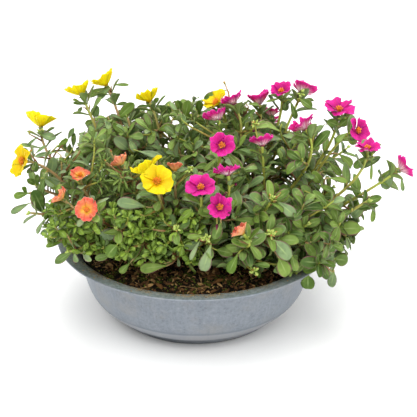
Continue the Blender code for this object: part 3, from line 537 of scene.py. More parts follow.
def leaf_envelope(root, sections, start):
    """A leaf's outline from a share of its length on, grown by the leaf gap."""
    near = [root.lerp(corner, start) for corner in sections[0]]
    points = []
    for ring in (near, sections[0], sections[1]):
        across = (sections[0][1] - sections[0][0]).normalized() * LEAF_GAP
        lift = (sections[0][3] - sections[0][0]).normalized() * LEAF_GAP_OVER
        moves = (-across - lift, across - lift, across + lift, lift - across)
        points.extend([corner + move for corner, move in zip(ring, moves)])
    faces = [(3, 2, 1, 0), (8, 9, 10, 11)] + tube_faces(3, 4)
    return points, faces


def tube_faces(rings, sides):
    """Faces of a tube whose rings of points follow each other in one list."""
    faces = []
    for ring in range(rings - 1):
        for j in range(sides):
            a = ring * sides + j
            b = ring * sides + (j + 1) % sides
            faces.append((a, b, b + sides, a + sides))
    return faces


def axis_envelope(axis):
    """Points and faces of a plain tube along an axis, for clearance tests."""
    ways = list(np.linspace(0.0, axis.length, max(ENVELOPE_RINGS, int(axis.length / ENVELOPE_STEP))))
    ways.append(axis.length - CALYX_LENGTH)
    ways.append(axis.length - 0.5 * CALYX_LENGTH)
    ways.sort()
    points = []
    for way in ways:
        points.extend(axis.ring(way))
    return points, tube_faces(len(ways), STEM_SIDES)


class Crowd:
    """Everything that a new leaf has to keep clear of, each thing with a family name.

    A leaf's root touches its own family (its stem, and the leaves of its joint), so
    against these only the outer part of the leaf is tested.
    """

    def __init__(self, axes):
        self.families = []
        self.trees = []
        self.centres = np.zeros((0, 3))
        self.sizes = np.zeros(0)
        for axis in axes:
            self.take(*axis_envelope(axis), axis.end)
        for name in BLOOMS:
            self.take(*bloom_surface(name), "")

    @staticmethod
    def ball(points):
        """Centre and radius of a ball round the points."""
        spots = np.array([p[:] for p in points])
        centre = spots.mean(axis=0)
        return centre, np.linalg.norm(spots - centre, axis=1).max()

    def take(self, points, faces, family):
        """Add one thing."""
        centre, size = self.ball(points)
        self.families.append(family)
        self.trees.append(BVHTree.FromPolygons(points, faces))
        self.centres = np.vstack((self.centres, centre))
        self.sizes = np.append(self.sizes, size)

    def has_room(self, whole, outer, families):
        """True if a leaf touches nothing and stays above the soil and the lip."""
        points = whole[0]
        for a, b in zip(points[4:8], points[8:12]):
            if any(below_ground(p, LEAF_GROUND_GAP) for p in (a, b, a.lerp(b, 0.5))):
                return False
        whole_tree = BVHTree.FromPolygons(*whole)
        outer_tree = BVHTree.FromPolygons(*outer)
        centre, size = self.ball(points)
        near = np.linalg.norm(self.centres - centre, axis=1) < self.sizes + size
        for i in np.nonzero(near)[0]:
            mine = outer_tree if self.families[i] in families else whole_tree
            if mine.overlap(self.trees[i]):
                return False
        return True


def leaf_joints(axis):
    """Distances along an axis where leaves sit, from its end down, with the faces that carry them."""
    whorl = axis.length - WHORL_DROP
    joints = [(whorl, tuple(range(4 if axis.host is None else 3)))]
    lowest = LOWEST_LEAF if axis.host is None else LOWEST_BRANCH_LEAF
    pairs = STEM_PAIRS if axis.host is None else BRANCH_PAIRS
    turn = 1
    way = whorl - FIRST_PAIR_DROP
    spacing = STEM_PAIR_SPACING if axis.host is None else BRANCH_PAIR_SPACING
    while way > lowest and len(joints) <= pairs:
        taken = [f for f in axis.forks if abs(f[0] - way) < FORK_ROOM]
        if not taken:
            joints.append((way, (turn % STEM_SIDES, (turn + 2) % STEM_SIDES)))
            turn += 1
            way -= spacing
        else:
            way -= JOINT_STEP
    return joints


def lay_leaves(axes):
    """Give every axis its leaves: the first variant of each that has room."""
    rng = random.Random(SEED + 1)
    crowd = Crowd(axes)
    for level in range(1 + STEM_PAIRS):
        for axis in axes:
            joints = leaf_joints(axis)
            if level >= len(joints):
                continue
            way, faces = joints[level]
            for k in faces:
                point, tangent, _, _ = axis.frame(way)
                outward = axis.face_outward(way, k)
                side = outward.cross(tangent) * -1.0
                inset = axis.radius(way) * math.cos(math.pi / STEM_SIDES)
                root = point + outward * inset
                grown = rng.uniform(*(LEAF_LENGTHS if level else WHORL_LEAF_LENGTHS))
                for attempt in range(TRIES_PER_LEAF):
                    length = grown * (1.0 - LEAF_SHRINK * attempt) * MM
                    width = length * rng.uniform(*LEAF_WIDTHS)
                    climb = math.radians(rng.uniform(*LEAF_CLIMBS))
                    droop = rng.uniform(*LEAF_DROOPS)
                    swing = rng.uniform(*LEAF_SWINGS)
                    direction, sections = leaf_sections(root, outward, tangent, side, length, width,
                                                        climb, droop, swing)
                    if direction.dot(outward) < LEAST_OUTWARD:
                        continue
                    whole = leaf_envelope(root, sections, LEAF_STARTS[0])
                    outer = leaf_envelope(root, sections, LEAF_STARTS[1])
                    families = (axis.end, (axis.end, way))
                    if crowd.has_room(whole, outer, families):
                        crowd.take(*whole, families[1])
                        axis.leaves.append((way, k, sections))
                        break


# Blooms

def petal_path(bloom):
    """Radius, height, angle and length along a petal's middle, in the bloom's own frame."""
    _, _, _, _, radius, base_angle, tip_angle = bloom
    start = HUB_RADIUS * math.cos(math.pi / PETALS)
    angles = []
    for i in range(PETAL_STEPS):
        left = 1.0 - (i + 0.5) / PETAL_STEPS
        angles.append(math.radians(tip_angle + (base_angle - tip_angle) * left * left))
    length = (radius * MM - start) * PETAL_STEPS / sum(math.cos(angle) for angle in angles)
    step = length / PETAL_STEPS
    path = [(start, 0.5 * HUB_HEIGHT, math.radians(base_angle), 0.0)]
    reach, height = path[0][:2]
    for i, angle in enumerate(angles):
        reach += math.cos(angle) * step
        height += math.sin(angle) * step
        path.append((reach, height, angle, (i + 1) / PETAL_STEPS))
    return path, length


def petal_sections(bloom, k):
    """The petal's widest section and its end, in the bloom's frame."""
    path, length = petal_path(bloom)
    turn = FIRST_CORNER + 2.0 * math.pi * (k + 0.5) / PETALS
    outward = Vector((math.cos(turn), math.sin(turn), 0.0))
    along = Vector((-math.sin(turn), math.cos(turn), 0.0))
    sections = []
    for part, share in zip((PETAL_WIDEST, 1.0), PETAL_HALF_WIDTHS):
        reach, height, angle, _ = min(path, key=lambda p: abs(p[3] - part))
        inner_reach = reach - 0.5 * PETAL_THICKNESS * math.sin(angle)
        half = min(share * length, SECTOR_FILL * inner_reach * math.tan(math.pi / PETALS))
        middle = outward * reach + UP * height
        lift = (UP * math.cos(angle) - outward * math.sin(angle)) * (0.5 * PETAL_THICKNESS)
        reach_side = along * half
        sections.append([middle - reach_side - lift, middle + reach_side - lift,
                         middle + reach_side + lift, middle - reach_side + lift])
    return sections


def bloom_base(name):
    """Base point and facing of a bloom."""
    _, centre, azimuth, elevation = BLOOMS[name][:4]
    facing = pointing(azimuth, elevation)
    path, _ = petal_path(BLOOMS[name])
    return Vector(centre) * MM - facing * (0.5 * path[-1][1]), facing


def bloom_matrix(name):
    """Placement of a bloom: its own Z is the way it faces."""
    base, facing = bloom_base(name)
    return Matrix.Translation(base) @ facing.to_track_quat("Z", "Y").to_matrix().to_4x4()


def bloom_surface(name):
    """Points and faces of a bloom's petals in the world, for clearance tests."""
    matrix = bloom_matrix(name)
    points = []
    faces = []
    for k in range(PETALS):
        sections = petal_sections(BLOOMS[name], k)
        turn = FIRST_CORNER + 2.0 * math.pi * (k + 0.5) / PETALS
        outward = Vector((math.cos(turn), math.sin(turn), 0.0)) * HUB_RADIUS
        start = len(points)
        for ring in ([outward] * 4, sections[0], sections[1]):
            points.extend([matrix @ p for p in ring])
        for face in tube_faces(3, 4) + [(8, 9, 10, 11)]:
            faces.append(tuple(start + i for i in face))
    return points, faces


# Bowl and soil

def sheet_profile():
    """Middle of the bowl's sheet from the foot up and out along the lip, radius and height."""
    half = 0.5 * SHEET
    return [
        (FOOT_RADIUS, half),
        (91.7 * MM, 11.5 * MM),
        (104.3 * MM, 24.5 * MM),
        (110.9 * MM, 41.5 * MM),
        (114.3 * MM, 61 * MM),
        (119 * MM, 72 * MM),
        (RIM_RADIUS - LIP_WIDTH, RIM_HEIGHT - half - LIP_RISE),
        (RIM_RADIUS - half, RIM_HEIGHT - half),
    ]


def sheet_side(distance):
    """One side of the bowl's sheet: its profile moved square to itself, inwards if positive."""
    profile = [Vector(point) for point in sheet_profile()]
    runs = [Vector((1.0, 0.0))] + [(b - a).normalized() for a, b in zip(profile, profile[1:])]
    runs.append(runs[-1])
    moved = []
    for point, before, after in zip(profile, runs, runs[1:]):
        square = Vector((-before.y - after.y, before.x + after.x)).normalized()
        moved.append(point + square * (distance / square.dot(Vector((-after.y, after.x)))))
    return [tuple(point) for point in moved]


# How fine the pieces are made
BOWL_TURNS = 160
SHEET_STEPS = 5
LIP_BEAD = (-1.0, -0.5, 0.0, 0.5, 1.0)
SHARP_EDGE = math.radians(40)
DRAIN_HOLE_CUTS = 24
SOIL_TURNS = 150
SOIL_STEPS = 44
STEM_RINGS = 5 * MM
STEM_SKIN_SIDES = 7
TWIG_SIDES = 5

# Camera
TARGET = Vector((0.012, 0.0, 0.107))
CAMERA_DISTANCE = 1.5
CAMERA_ELEVATION = math.radians(26.0)
CAMERA_RANGE = (0.05, 50.0)
LENS = 131.3
SENSOR = 36.0

# Lights: name, place, size (m) and power (W), and the brightness of the surround
LIGHTS = (
    ("key", (-0.6, -1.0, 1.9), 1.7, 21.0),
    ("fill", (1.1, -1.0, 1.3), 1.5, 8.0),
    ("top", (0.0, 0.5, 1.8), 1.5, 19.0),
)
SURROUND = 0.95
FLOOR_SIZE = 6.0
FLOOR_DROP = 0.2 * MM

# How far each colour of light goes in under the skin of a petal or a leaf
LIGHT_REACH = 0.8 * MM
LIGHT_SPREAD = (1.0, 0.9, 0.7)

# Where a random turn may start, and the turn from one leaf or thread to the next
ANY_TURN = (0.0, 6.28)
SPIRAL = 2.4

# Leaf outline: share of the length, half width and thickness as shares of the most
SPOON = ((0.0, 0.15, 0.9), (0.1, 0.2, 1.0), (0.24, 0.42, 1.0), (0.4, 0.7, 0.95), (0.55, 0.92, 0.9),
         (0.7, 1.0, 0.8), (0.82, 0.9, 0.7), (0.91, 0.68, 0.55), (0.97, 0.4, 0.4))
OVAL = ((0.0, 0.16, 0.9), (0.08, 0.24, 1.0), (0.2, 0.6, 1.0), (0.36, 0.88, 0.95), (0.52, 1.0, 0.9),
        (0.68, 0.97, 0.8), (0.81, 0.82, 0.7), (0.91, 0.58, 0.55), (0.97, 0.33, 0.4))
SMALL = ((0.0, 0.2, 0.9), (0.25, 0.5, 1.0), (0.5, 0.9, 1.0), (0.72, 1.0, 0.9), (0.9, 0.66, 0.6))

# Leaf cross-section: share of the half width, and height as a share of the thickness
LEAF_COLUMNS = ((1.0, 0.0), (0.6, 0.32), (0.0, 0.38), (-0.6, 0.32), (-1.0, 0.0),
                (-0.6, -0.45), (0.0, -0.62), (0.6, -0.45))
SMALL_COLUMNS = ((1.0, 0.0), (0.0, 0.35), (-1.0, 0.0), (0.0, -0.6))

# A leaf's unevenness: its twist, and how far its edges rise and wave as shares of its width
LEAF_TWIST = 0.5
LEAF_CUPS = (0.12, 0.34)
DEEPEST_CUP = 1.8 * MM
CUP_POWER = 1.4
LEAF_WAVES = (0.0, 0.07)
LEAF_BEAT = 7.0
PATH_STEP = 0.02

# Kinds of shoot: outline, lengths (mm), width shares and thickness (mm) of the leaves, how many
# in an end rosette and for each 10 mm of stem, and the range of their tone
Kind = namedtuple("Kind", "form lengths widths thickness rosette density tones")
KINDS = {
    "spoon": Kind(SPOON, (13, 22), (0.38, 0.50), 0.9, 7, 1.7, (0.36, 0.7)),
    "broad": Kind(OVAL, (13, 21), (0.48, 0.62), 0.9, 7, 1.7, (0.02, 0.66)),
    "lime": Kind(SMALL, (6, 12), (0.38, 0.54), 0.7, 9, 2.4, (0.78, 1.0)),
    "tuft": Kind(SMALL, (8, 16), (0.18, 0.28), 0.7, 9, 3.4, (0.30, 0.58)),
}
BROAD_FROM = 20 * MM

# Bud-like forms: share of the length, and radius (mm, or a share of a chip's size)
BUD = ((0.0, 0.7), (0.15, 1.3), (0.38, 1.7), (0.62, 1.45), (0.82, 0.85), (0.95, 0.3))
BUD_SIZE = 6
CHIP = ((0.0, 0.25), (0.2, 0.5), (0.6, 0.55), (0.9, 0.35))
SPENT = ((0.0, 0.5), (0.25, 1.3), (0.6, 1.2), (0.85, 0.8))
THREAD = ((0.0, 0.2), (0.8, 0.16))
ANTHER = ((0.0, 0.3), (0.3, 0.55), (0.7, 0.5))
ANTHER_SIZE = 1.3
FORM_HINT = Vector((0.3, 1.0, 0.2))
TUBE_TIP = 0.4


# Collecting the faces of one piece

def skin_faces(rings, sides):
    """Faces of a closed skin over rings of points, with a fan to one last point."""
    faces = [tuple(range(sides))[::-1]] + tube_faces(rings, sides)
    last = (rings - 1) * sides
    faces += [(last + j, last + (j + 1) % sides, last + sides) for j in range(sides)]
    return faces


def add_object(name, data):
    """A new object in the scene."""
    item = bpy.data.objects.new(name, data)
    bpy.context.scene.collection.objects.link(item)
    return item


def add_piece(name, mesh, nodes):
    """A new piece that rides on the pot and replaces the nodes, if there are any."""
    item = add_object(name, mesh)
    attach(item, "root")
    if nodes:
        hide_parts(*nodes)
    return item


class Batch:
    """The points and faces of one piece.

    Each point has a paint value for the materials: share of the length, share of the
    width, a chance that is the same all over one leaf or petal, and 1 on its underside.
    """

    patterns = {}

    def __init__(self, *materials):
        self.materials = list(materials)
        self.points = []
        self.paint = []
        self.faces = []
        self.kinds = []
        self.count = 0

    def add(self, points, paint, faces, material):
        """Add one closed form."""
        self.points.append(points)
        self.paint.append(paint)
        start = self.count
        self.faces += [tuple(start + i for i in face) for face in faces]
        self.kinds += [self.materials.index(material)] * len(faces)
        self.count += len(points)

    def skin(self, rings, tip, along, across, chance, under, material):
        """Add a skin over rings (an array of rings, points and coordinates) and its tip."""
        count, sides = rings.shape[:2]
        key = (count, sides)
        if key not in self.patterns:
            self.patterns[key] = skin_faces(count, sides)
        points = np.vstack((rings.reshape(-1, 3), tip))
        paint = np.empty((len(points), 4))
        paint[:-1, 0] = np.repeat(along, sides)
        paint[:-1, 1] = np.tile(across, count)
        paint[:, 2] = chance
        paint[:-1, 3] = np.tile(under, count)
        paint[-1] = (1.0, 0.5, chance, 0.5)
        self.add(points, paint, self.patterns[key], material)

    def make(self, name, slot, *nodes):
        """Turn the batch into a smooth piece."""
        mesh = bpy.data.meshes.new(name)
        mesh.from_pydata(np.vstack(self.points).tolist(), [], self.faces)
        mesh.polygons.foreach_set("material_index", self.kinds)
        mesh.polygons.foreach_set("use_smooth", [True] * len(self.faces))
        colours = mesh.attributes.new("paint", "FLOAT_COLOR", "POINT")
        colours.data.foreach_set("color", np.vstack(self.paint).astype(np.float32).ravel())
        for material in self.materials:
            mesh.materials.append(material)
        mesh.update()
        add_piece(name, mesh, nodes)


# Fine forms

def raise_leaf(batch, spots, normal, width, form, thickness, chance, rng, material):
    """A fleshy blade through its root, middle and tip, hollowed along its midrib, a little uneven."""
    along, half, thick = np.array(form).T
    across, lift = np.array(SMALL_COLUMNS if form is SMALL else LEAF_COLUMNS).T
    root, middle, tip, normal = (np.array(v[:]) for v in (*spots, normal))
    m = LEAF_WIDEST

    def path(t):
        a = (t - m) * (t - 1.0) / m
        b = t * (t - 1.0) / (m * (m - 1.0))
        c = t * (t - m) / (1.0 - m)
        return a[:, None] * root + b[:, None] * middle + c[:, None] * tip

    centres = path(along)
    tangents = path(along + PATH_STEP) - centres
    tangents /= np.linalg.norm(tangents, axis=1)[:, None]
    side = np.cross(normal, tangents)
    side /= np.linalg.norm(side, axis=1)[:, None]
    over = np.cross(tangents, side)
    twist = rng.uniform(-LEAF_TWIST, LEAF_TWIST) * along
    side, over = (side * np.cos(twist)[:, None] + over * np.sin(twist)[:, None],
                  over * np.cos(twist)[:, None] - side * np.sin(twist)[:, None])
    cup = min(rng.uniform(*LEAF_CUPS) * width, DEEPEST_CUP)
    wave = rng.uniform(*LEAF_WAVES) * width
    beat = rng.uniform(*ANY_TURN)
    reach = 0.5 * width * half
    fold = cup * np.abs(across)[None, :] ** CUP_POWER * half[:, None]
    fold = fold + wave * np.sin(LEAF_BEAT * along[:, None] + beat + across[None, :]) * across[None, :] ** 2
    depth = thickness * MM * thick[:, None] * lift[None, :] + fold
    rings = centres[:, None, :] + side[:, None, :] * (reach[:, None] * across[None, :])[:, :, None]
    rings = rings + over[:, None, :] * depth[:, :, None]
    batch.skin(rings, tip, along, np.abs(across), chance, (lift < 0.0) * 1.0, material)


def raise_tube(batch, axis, stations, material, sides=STEM_SKIN_SIDES, chance=0.5):
    """A smooth round tube along an axis, through stations of distance and radius."""
    turns = [math.tau * j / sides for j in range(sides)]
    rings = []
    for way, radius in stations:
        point, _, side, over = axis.frame(way)
        rings.append([(point + side * (radius * math.cos(t)) + over * (radius * math.sin(t)))[:]
                      for t in turns])
    end, tangent, _, _ = axis.frame(stations[-1][0])
    tip = np.array((end + tangent * (TUBE_TIP * stations[-1][1]))[:])
    along = [way / axis.length for way, _ in stations]
    batch.skin(np.array(rings), tip, along, [0.0] * sides, chance, [0.0] * sides, material)


def raise_ovoid(batch, base, direction, length, profile, material, chance, sides=7, wobble=0.0, rng=None):
    """A bud-like form: a profile of (share of the length, radius) turned about a straight line."""
    side = square_to(FORM_HINT, direction)
    over = direction.cross(side)
    rings = []
    for share, radius in profile:
        spot = base + direction * (share * length)
        ring = []
        for j in range(sides):
            turn = math.tau * j / sides
            size = radius * (1.0 + (rng.uniform(-wobble, wobble) if wobble else 0.0))
            ring.append((spot + side * (size * math.cos(turn)) + over * (size * math.sin(turn)))[:])
        rings.append(ring)
    tip = np.array((base + direction * length)[:])
    along = [share for share, _ in profile]
    batch.skin(np.array(rings), tip, along, [0.0] * sides, chance, [0.0] * sides, material)


def sized(profile, size):
    """A profile with its radii brought to a size."""
    return [(share, radius * size) for share, radius in profile]


def raise_bud(batch, base, direction, size, material, chance):
    """A pointed bud with a plump base."""
    profile = [(share, radius * size * MM) for share, radius in BUD]
    raise_ovoid(batch, base, direction, BUD_SIZE * MM * size, profile, material, chance)


# Materials

# Bands on the bowl's wall, each painted light: painted shade along the crease, a painted reflection of the
# pale floor under it, and painted shade on the foot. Heights (mm) over which each one fades in from above and
# from below
CREASE_SHADE = ((27.5, 25.5), (22.5, 24.5))
FLOOR_REFLECTION_BAND = ((24.5, 22.0), (10.5, 12.5))
FOOT_SHADE = (11.5, 9.5)


def rgb(code):
    """Linear colour from a screen colour such as 8A9B42."""
    channels = [int(code[i:i + 2], 16) / 255.0 for i in (0, 2, 4)]
    linear = [c / 12.92 if c <= 0.04045 else ((c + 0.055) / 1.055) ** 2.4 for c in channels]
    return (*linear, 1.0)


class Surface:
    """A material in the making, with short ways to add nodes to it. Colours are screen codes."""

    def __init__(self, name, roughness=0.5, metallic=0.0, specular=0.5, glow=0.0):
        self.material = bpy.data.materials.new(name)
        self.material.use_nodes = True
        self.tree = self.material.node_tree
        self.shader = self.tree.nodes["Principled BSDF"]
        self.shader.inputs["Roughness"].default_value = roughness
        self.shader.inputs["Metallic"].default_value = metallic
        self.shader.inputs["Specular IOR Level"].default_value = specular
        self.shader.inputs["Subsurface Weight"].default_value = glow
        self.shader.inputs["Subsurface Radius"].default_value = LIGHT_SPREAD
        self.shader.inputs["Subsurface Scale"].default_value = LIGHT_REACH
        self.place = self.add("ShaderNodeTexCoord").outputs["Object"]

    def add(self, kind, inputs=(), **settings):
        """A new node with its inputs linked or set."""
        node = self.tree.nodes.new(kind)
        for key, value in settings.items():
            setattr(node, key, value)
        for key, value in inputs:
            self.feed(node.inputs[key], value)
        return node

    def feed(self, socket, value):
        """Link a socket to another, or set it to a number or a colour."""
        if isinstance(value, bpy.types.NodeSocket):
            self.tree.links.new(value, socket)
        else:
            socket.default_value = rgb(value) if isinstance(value, str) else value

    def paint(self):
        """The four paint values: along, across, chance, underside."""
        read = self.add("ShaderNodeAttribute", attribute_name="paint")
        split = self.add("ShaderNodeSeparateColor", [(0, read.outputs["Color"])])
        return (*split.outputs, read.outputs["Alpha"])

    def mix(self, share, a, b, blend="MIX"):
        """Two colours mixed by a share."""
        node = self.add("ShaderNodeMix", data_type="RGBA", blend_type=blend)
        for index, value in ((0, share), (6, a), (7, b)):
            self.feed(node.inputs[index], value)
        return node.outputs[2]

    def ramp(self, value, *stops):
        """Colours along a value, each stop a (position, colour) pair."""
        node = self.add("ShaderNodeValToRGB", [(0, value)])
        points = node.color_ramp.elements
        while len(points) < len(stops):
            points.new(0.5)
        for point, (position, colour) in zip(points, stops):
            point.position = position
            point.color = rgb(colour)
        return node.outputs["Color"]

    def noise(self, scale, detail=3.0, rough=0.5, where=None):
        """A noise value at a scale in cycles a metre."""
        pairs = [("Vector", where or self.place), ("Scale", scale), ("Detail", detail), ("Roughness", rough)]
        return self.add("ShaderNodeTexNoise", pairs).outputs["Fac"]

    def math(self, operation, a, b=0.0):
        """One sum on two values."""
        return self.add("ShaderNodeMath", [(0, a), (1, b)], operation=operation).outputs[0]

    def times(self, a, b):
        """The product of two values."""
        return self.math("MULTIPLY", a, b)

    def band(self, value, low, high, bottom=0.0, top=1.0):
        """A value brought from one range to another, and held within it."""
        pairs = [(0, value), (1, low), (2, high), (3, bottom), (4, top)]
        return self.add("ShaderNodeMapRange", pairs, interpolation_type="SMOOTHSTEP").outputs[0]

    def between(self, value, above, below):
        """1 where a value lies between two edges, each given by the ends of its fade in mm."""
        return self.times(self.band(value, above[0] * MM, above[1] * MM),
                          self.band(value, below[0] * MM, below[1] * MM))

    def wash(self, base, colour, value, low, high, most):
        """A colour over the base, up to a share of it as a value goes from low to high."""
        return self.mix(self.band(value, low, high, 0.0, most), base, colour)

    def joined(self, x, y, z):
        """A vector of three values."""
        return self.add("ShaderNodeCombineXYZ", [(0, x), (1, y), (2, z)]).outputs[0]

    def finish(self, colour, roughness=None, height=None, distance=0.5 * MM, strength=0.5):
        """Wire the colour, the roughness and the bump, and hand over the material."""
        self.feed(self.shader.inputs["Base Color"], colour)
        if roughness is not None:
            self.feed(self.shader.inputs["Roughness"], roughness)
        if height is not None:
            pairs = [("Strength", strength), ("Distance", distance), ("Height", height)]
            self.feed(self.shader.inputs["Normal"], self.add("ShaderNodeBump", pairs).outputs[0])
        return self.material


def leaf_material():
    """Fleshy leaf: many greens, paler midrib, purple-red margin, duller underside."""
    s = Surface("leaf", specular=0.3, glow=0.12)
    along, across, chance, under = s.paint()
    base = s.ramp(chance, (0.0, "3A561E"), (0.15, "4C6824"), (0.35, "607C2E"), (0.5, "76903C"),
                  (0.6, "68844A"), (0.68, "80966A"), (0.75, "8EA072"), (0.8, "527020"), (1.0, "94B23E"))
    patches = s.noise(120.0, 4.0)
    base = s.wash(base, "9AB05C", patches, 0.5, 0.72, 0.4)
    base = s.wash(base, "34501A", patches, 0.48, 0.25, 0.5)
    rib = s.times(s.band(across, 0.16, 0.0), s.band(along, 0.95, 0.5))
    base = s.mix(s.times(rib, 0.45), base, "AFC67C")
    base = s.wash(base, "8FA848", along, 0.22, 0.0, 0.6)
    edge = s.times(s.band(across, 0.8, 0.97), s.band(s.noise(60.0, 2.0), 0.35, 0.6, 0.15, 0.95))
    base = s.mix(s.times(edge, s.band(chance, 0.8, 0.7)), base, "84465A")
    base = s.mix(s.times(under, 0.4), base, "8C9C6A")
    roughness = s.band(s.noise(300.0, 2.0), 0.3, 0.7, 0.42, 0.6)
    return s.finish(base, roughness, s.noise(900.0, 2.0), 0.3 * MM, 0.25)


def stem_material():
    """Stem: red-brown and tan low down, olive and yellow-green towards its end."""
    s = Surface("stem", specular=0.35)
    along, _, chance, _ = s.paint()
    where = s.math("ADD", along, s.band(s.noise(160.0, 4.0), 0.3, 0.7, -0.14, 0.14))
    young = s.ramp(where, (0.0, "7A5A30"), (0.3, "9A8440"), (0.55, "A8A448"), (1.0, "A4B44C"))
    old = s.ramp(where, (0.0, "5A3A24"), (0.4, "8A5C38"), (0.75, "B08C60"), (1.0, "A89860"))
    base = s.mix(s.band(chance, 0.3, 0.7), young, old)
    return s.finish(base, 0.5, s.noise(700.0, 3.0), 0.4 * MM, 0.3)


def bud_material():
    """Buds and seed capsules: yellow-green with an olive or red tip."""
    s = Surface("bud", specular=0.4)
    along, _, chance, _ = s.paint()
    tip = s.ramp(chance, (0.0, "B9C862"), (0.6, "A8B850"), (0.8, "C0562E"), (1.0, "A3122B"))
    base = s.mix(s.band(along, 0.35, 0.95), "93AD48", tip)
    base = s.wash(base, "D3DC8E", s.noise(500.0, 2.0), 0.4, 0.7, 0.4)
    return s.finish(base, 0.42, s.noise(900.0, 2.0), 0.3 * MM, 0.3)


def petal_material(name, stops, streak, back, least):
    """Petal: a gradient from throat to edge, fine veins and patches, and a paler streaked back, partly the
    petal's own paler back and partly painted light that brightens the shaded underside.
    """
    s = Surface(name, specular=0.15, glow=0.85)
    along, across, chance, under = s.paint()
    grid = s.joined(s.times(across, 14.0), s.times(along, 1.6), s.times(chance, 30.0))
    veins = s.noise(1.0, 3.0, 0.6, grid)
    base = s.ramp(s.math("ADD", along, s.band(veins, 0.3, 0.7, -0.1, 0.1)), *stops)
    base = s.wash(base, streak, veins, 0.48, 0.75, 0.55)
    base = s.wash(base, streak, s.noise(190.0, 2.0), 0.45, 0.65, 0.4)
    shade = s.band(chance, 0.0, 1.0, 0.88, 1.0)
    base = s.mix(1.0, base, s.joined(shade, shade, shade), "MULTIPLY")
    # painted light: the underside takes a paler back colour, partly the petal's own and partly brightened to
    # stand in for light on the shaded back
    pale_back_and_painted_light = s.times(under, s.band(along, 0.75, 0.22, least, 1.0))
    base = s.mix(s.times(pale_back_and_painted_light, s.band(veins, 0.4, 0.6, 0.35, 1.0)), base, back)
    return s.finish(base, 0.55, veins, 0.8 * MM, 0.5)


def stamen_material():
    """Stamens: orange threads with deeper anthers."""
    s = Surface("stamen", specular=0.3)
    along, _, chance, _ = s.paint()
    base = s.ramp(along, (0.0, "F0A52A"), (0.6, "EE8A1E"), (1.0, "D8641A"))
    base = s.wash(base, "B5451A", chance, 0.3, 1.0, 0.5)
    base = s.wash(base, "F7C24A", s.noise(1500.0, 2.0), 0.4, 0.7, 0.35)
    return s.finish(base, 0.6)


def wilted_material():
    """Spent bloom: dark wine red, crumpled."""
    s = Surface("wilted", specular=0.3)
    base = s.ramp(s.noise(400.0, 3.0), (0.3, "3A0A22"), (0.6, "6E1440"), (0.8, "8E2A50"))
    return s.finish(base, 0.6, s.noise(500.0, 4.0), 0.6 * MM, 0.6)


def zinc_material():
    """Galvanised sheet: grainy blue-grey, faint upright streaks, painted shade and reflection in bands low on
    the wall, a darker greenish lip top that is a painted reflection of the plant above, and dirt on the lip's
    inner side.
    """
    s = Surface("zinc", metallic=0.2, specular=0.4)
    x, y, z = s.add("ShaderNodeSeparateXYZ", [(0, s.place)]).outputs
    turn = s.math("ARCTAN2", y, x)
    runs = s.noise(1.0, 4.0, 0.6, s.joined(s.times(turn, 30.0), s.times(z, 16.0), 0.0))
    clouds = s.noise(60.0, 5.0, 0.7)
    grain = s.noise(330.0, 4.0, 0.75)
    specks = s.noise(760.0, 2.0, 0.6)
    base = s.ramp(grain, (0.3, "666C74"), (0.48, "7B828B"), (0.58, "828991"), (0.75, "969BA3"))
    base = s.wash(base, "8D949D", clouds, 0.35, 0.7, 0.35)
    base = s.wash(base, "918F8B", s.noise(34.0, 4.0, 0.6), 0.46, 0.7, 0.45)
    base = s.wash(base, "989DA4", runs, 0.5, 0.8, 0.35)
    base = s.wash(base, "6C7681", runs, 0.45, 0.25, 0.3)
    base = s.wash(base, "B3B7BC", specks, 0.66, 0.8, 0.5)
    base = s.wash(base, "5E6973", specks, 0.34, 0.2, 0.5)
    # painted shade: a dark line along the crease in the wall
    base = s.mix(s.times(s.between(z, *CREASE_SHADE), 0.55), base, "6A727C")
    # painted reflection: a lighter band where the lower wall looks down at the pale floor
    base = s.mix(s.times(s.between(z, *FLOOR_REFLECTION_BAND), 0.6), base, "9D9EA2")
    # painted shade: the foot darkened, most of all on the left
    side = s.band(x, 50 * MM, -30 * MM, 0.35, 1.0)
    foot = s.band(z, FOOT_SHADE[0] * MM, FOOT_SHADE[1] * MM, 0.0, 0.85)
    base = s.mix(s.times(side, foot), base, "3A4147")
    reach = s.math("SQRT", s.math("ADD", s.times(x, x), s.times(y, y)))
    inner = RIM_RADIUS - LIP_WIDTH
    # painted reflection: the top of the lip tinted a darker greenish grey in blotches, as the plant above
    # would show in the metal
    lip = s.times(s.band(reach, inner - 3 * MM, inner),
                  s.band(reach, RIM_RADIUS - 0.6 * MM, RIM_RADIUS - 2.0 * MM))
    upper = s.band(z, RIM_HEIGHT - 4.2 * MM, RIM_HEIGHT - 2.6 * MM)
    lip_reflection = s.times(s.times(lip, upper), s.band(clouds, 0.25, 0.6, 0.6, 0.95))
    base = s.mix(lip_reflection, base, s.mix(s.band(grain, 0.35, 0.65), "667270", "8E9896"))
    close = s.times(s.band(reach, RIM_RADIUS - 3 * MM, inner + 2 * MM), upper)
    crumbs = s.band(s.noise(220.0, 5.0, 0.8), 0.45, 0.54)
    dirt = s.times(s.times(close, crumbs), s.band(s.noise(24.0, 2.0), 0.35, 0.6, 0.3, 1.0))
    base = s.mix(dirt, base, s.mix(s.band(specks, 0.4, 0.6), "5C4526", "B09A6C"))
    height = s.math("ADD", s.times(grain, 0.5), s.times(specks, 0.4))
    return s.finish(base, s.band(grain, 0.3, 0.7, 0.42, 0.6), height, 0.5 * MM, 0.3)


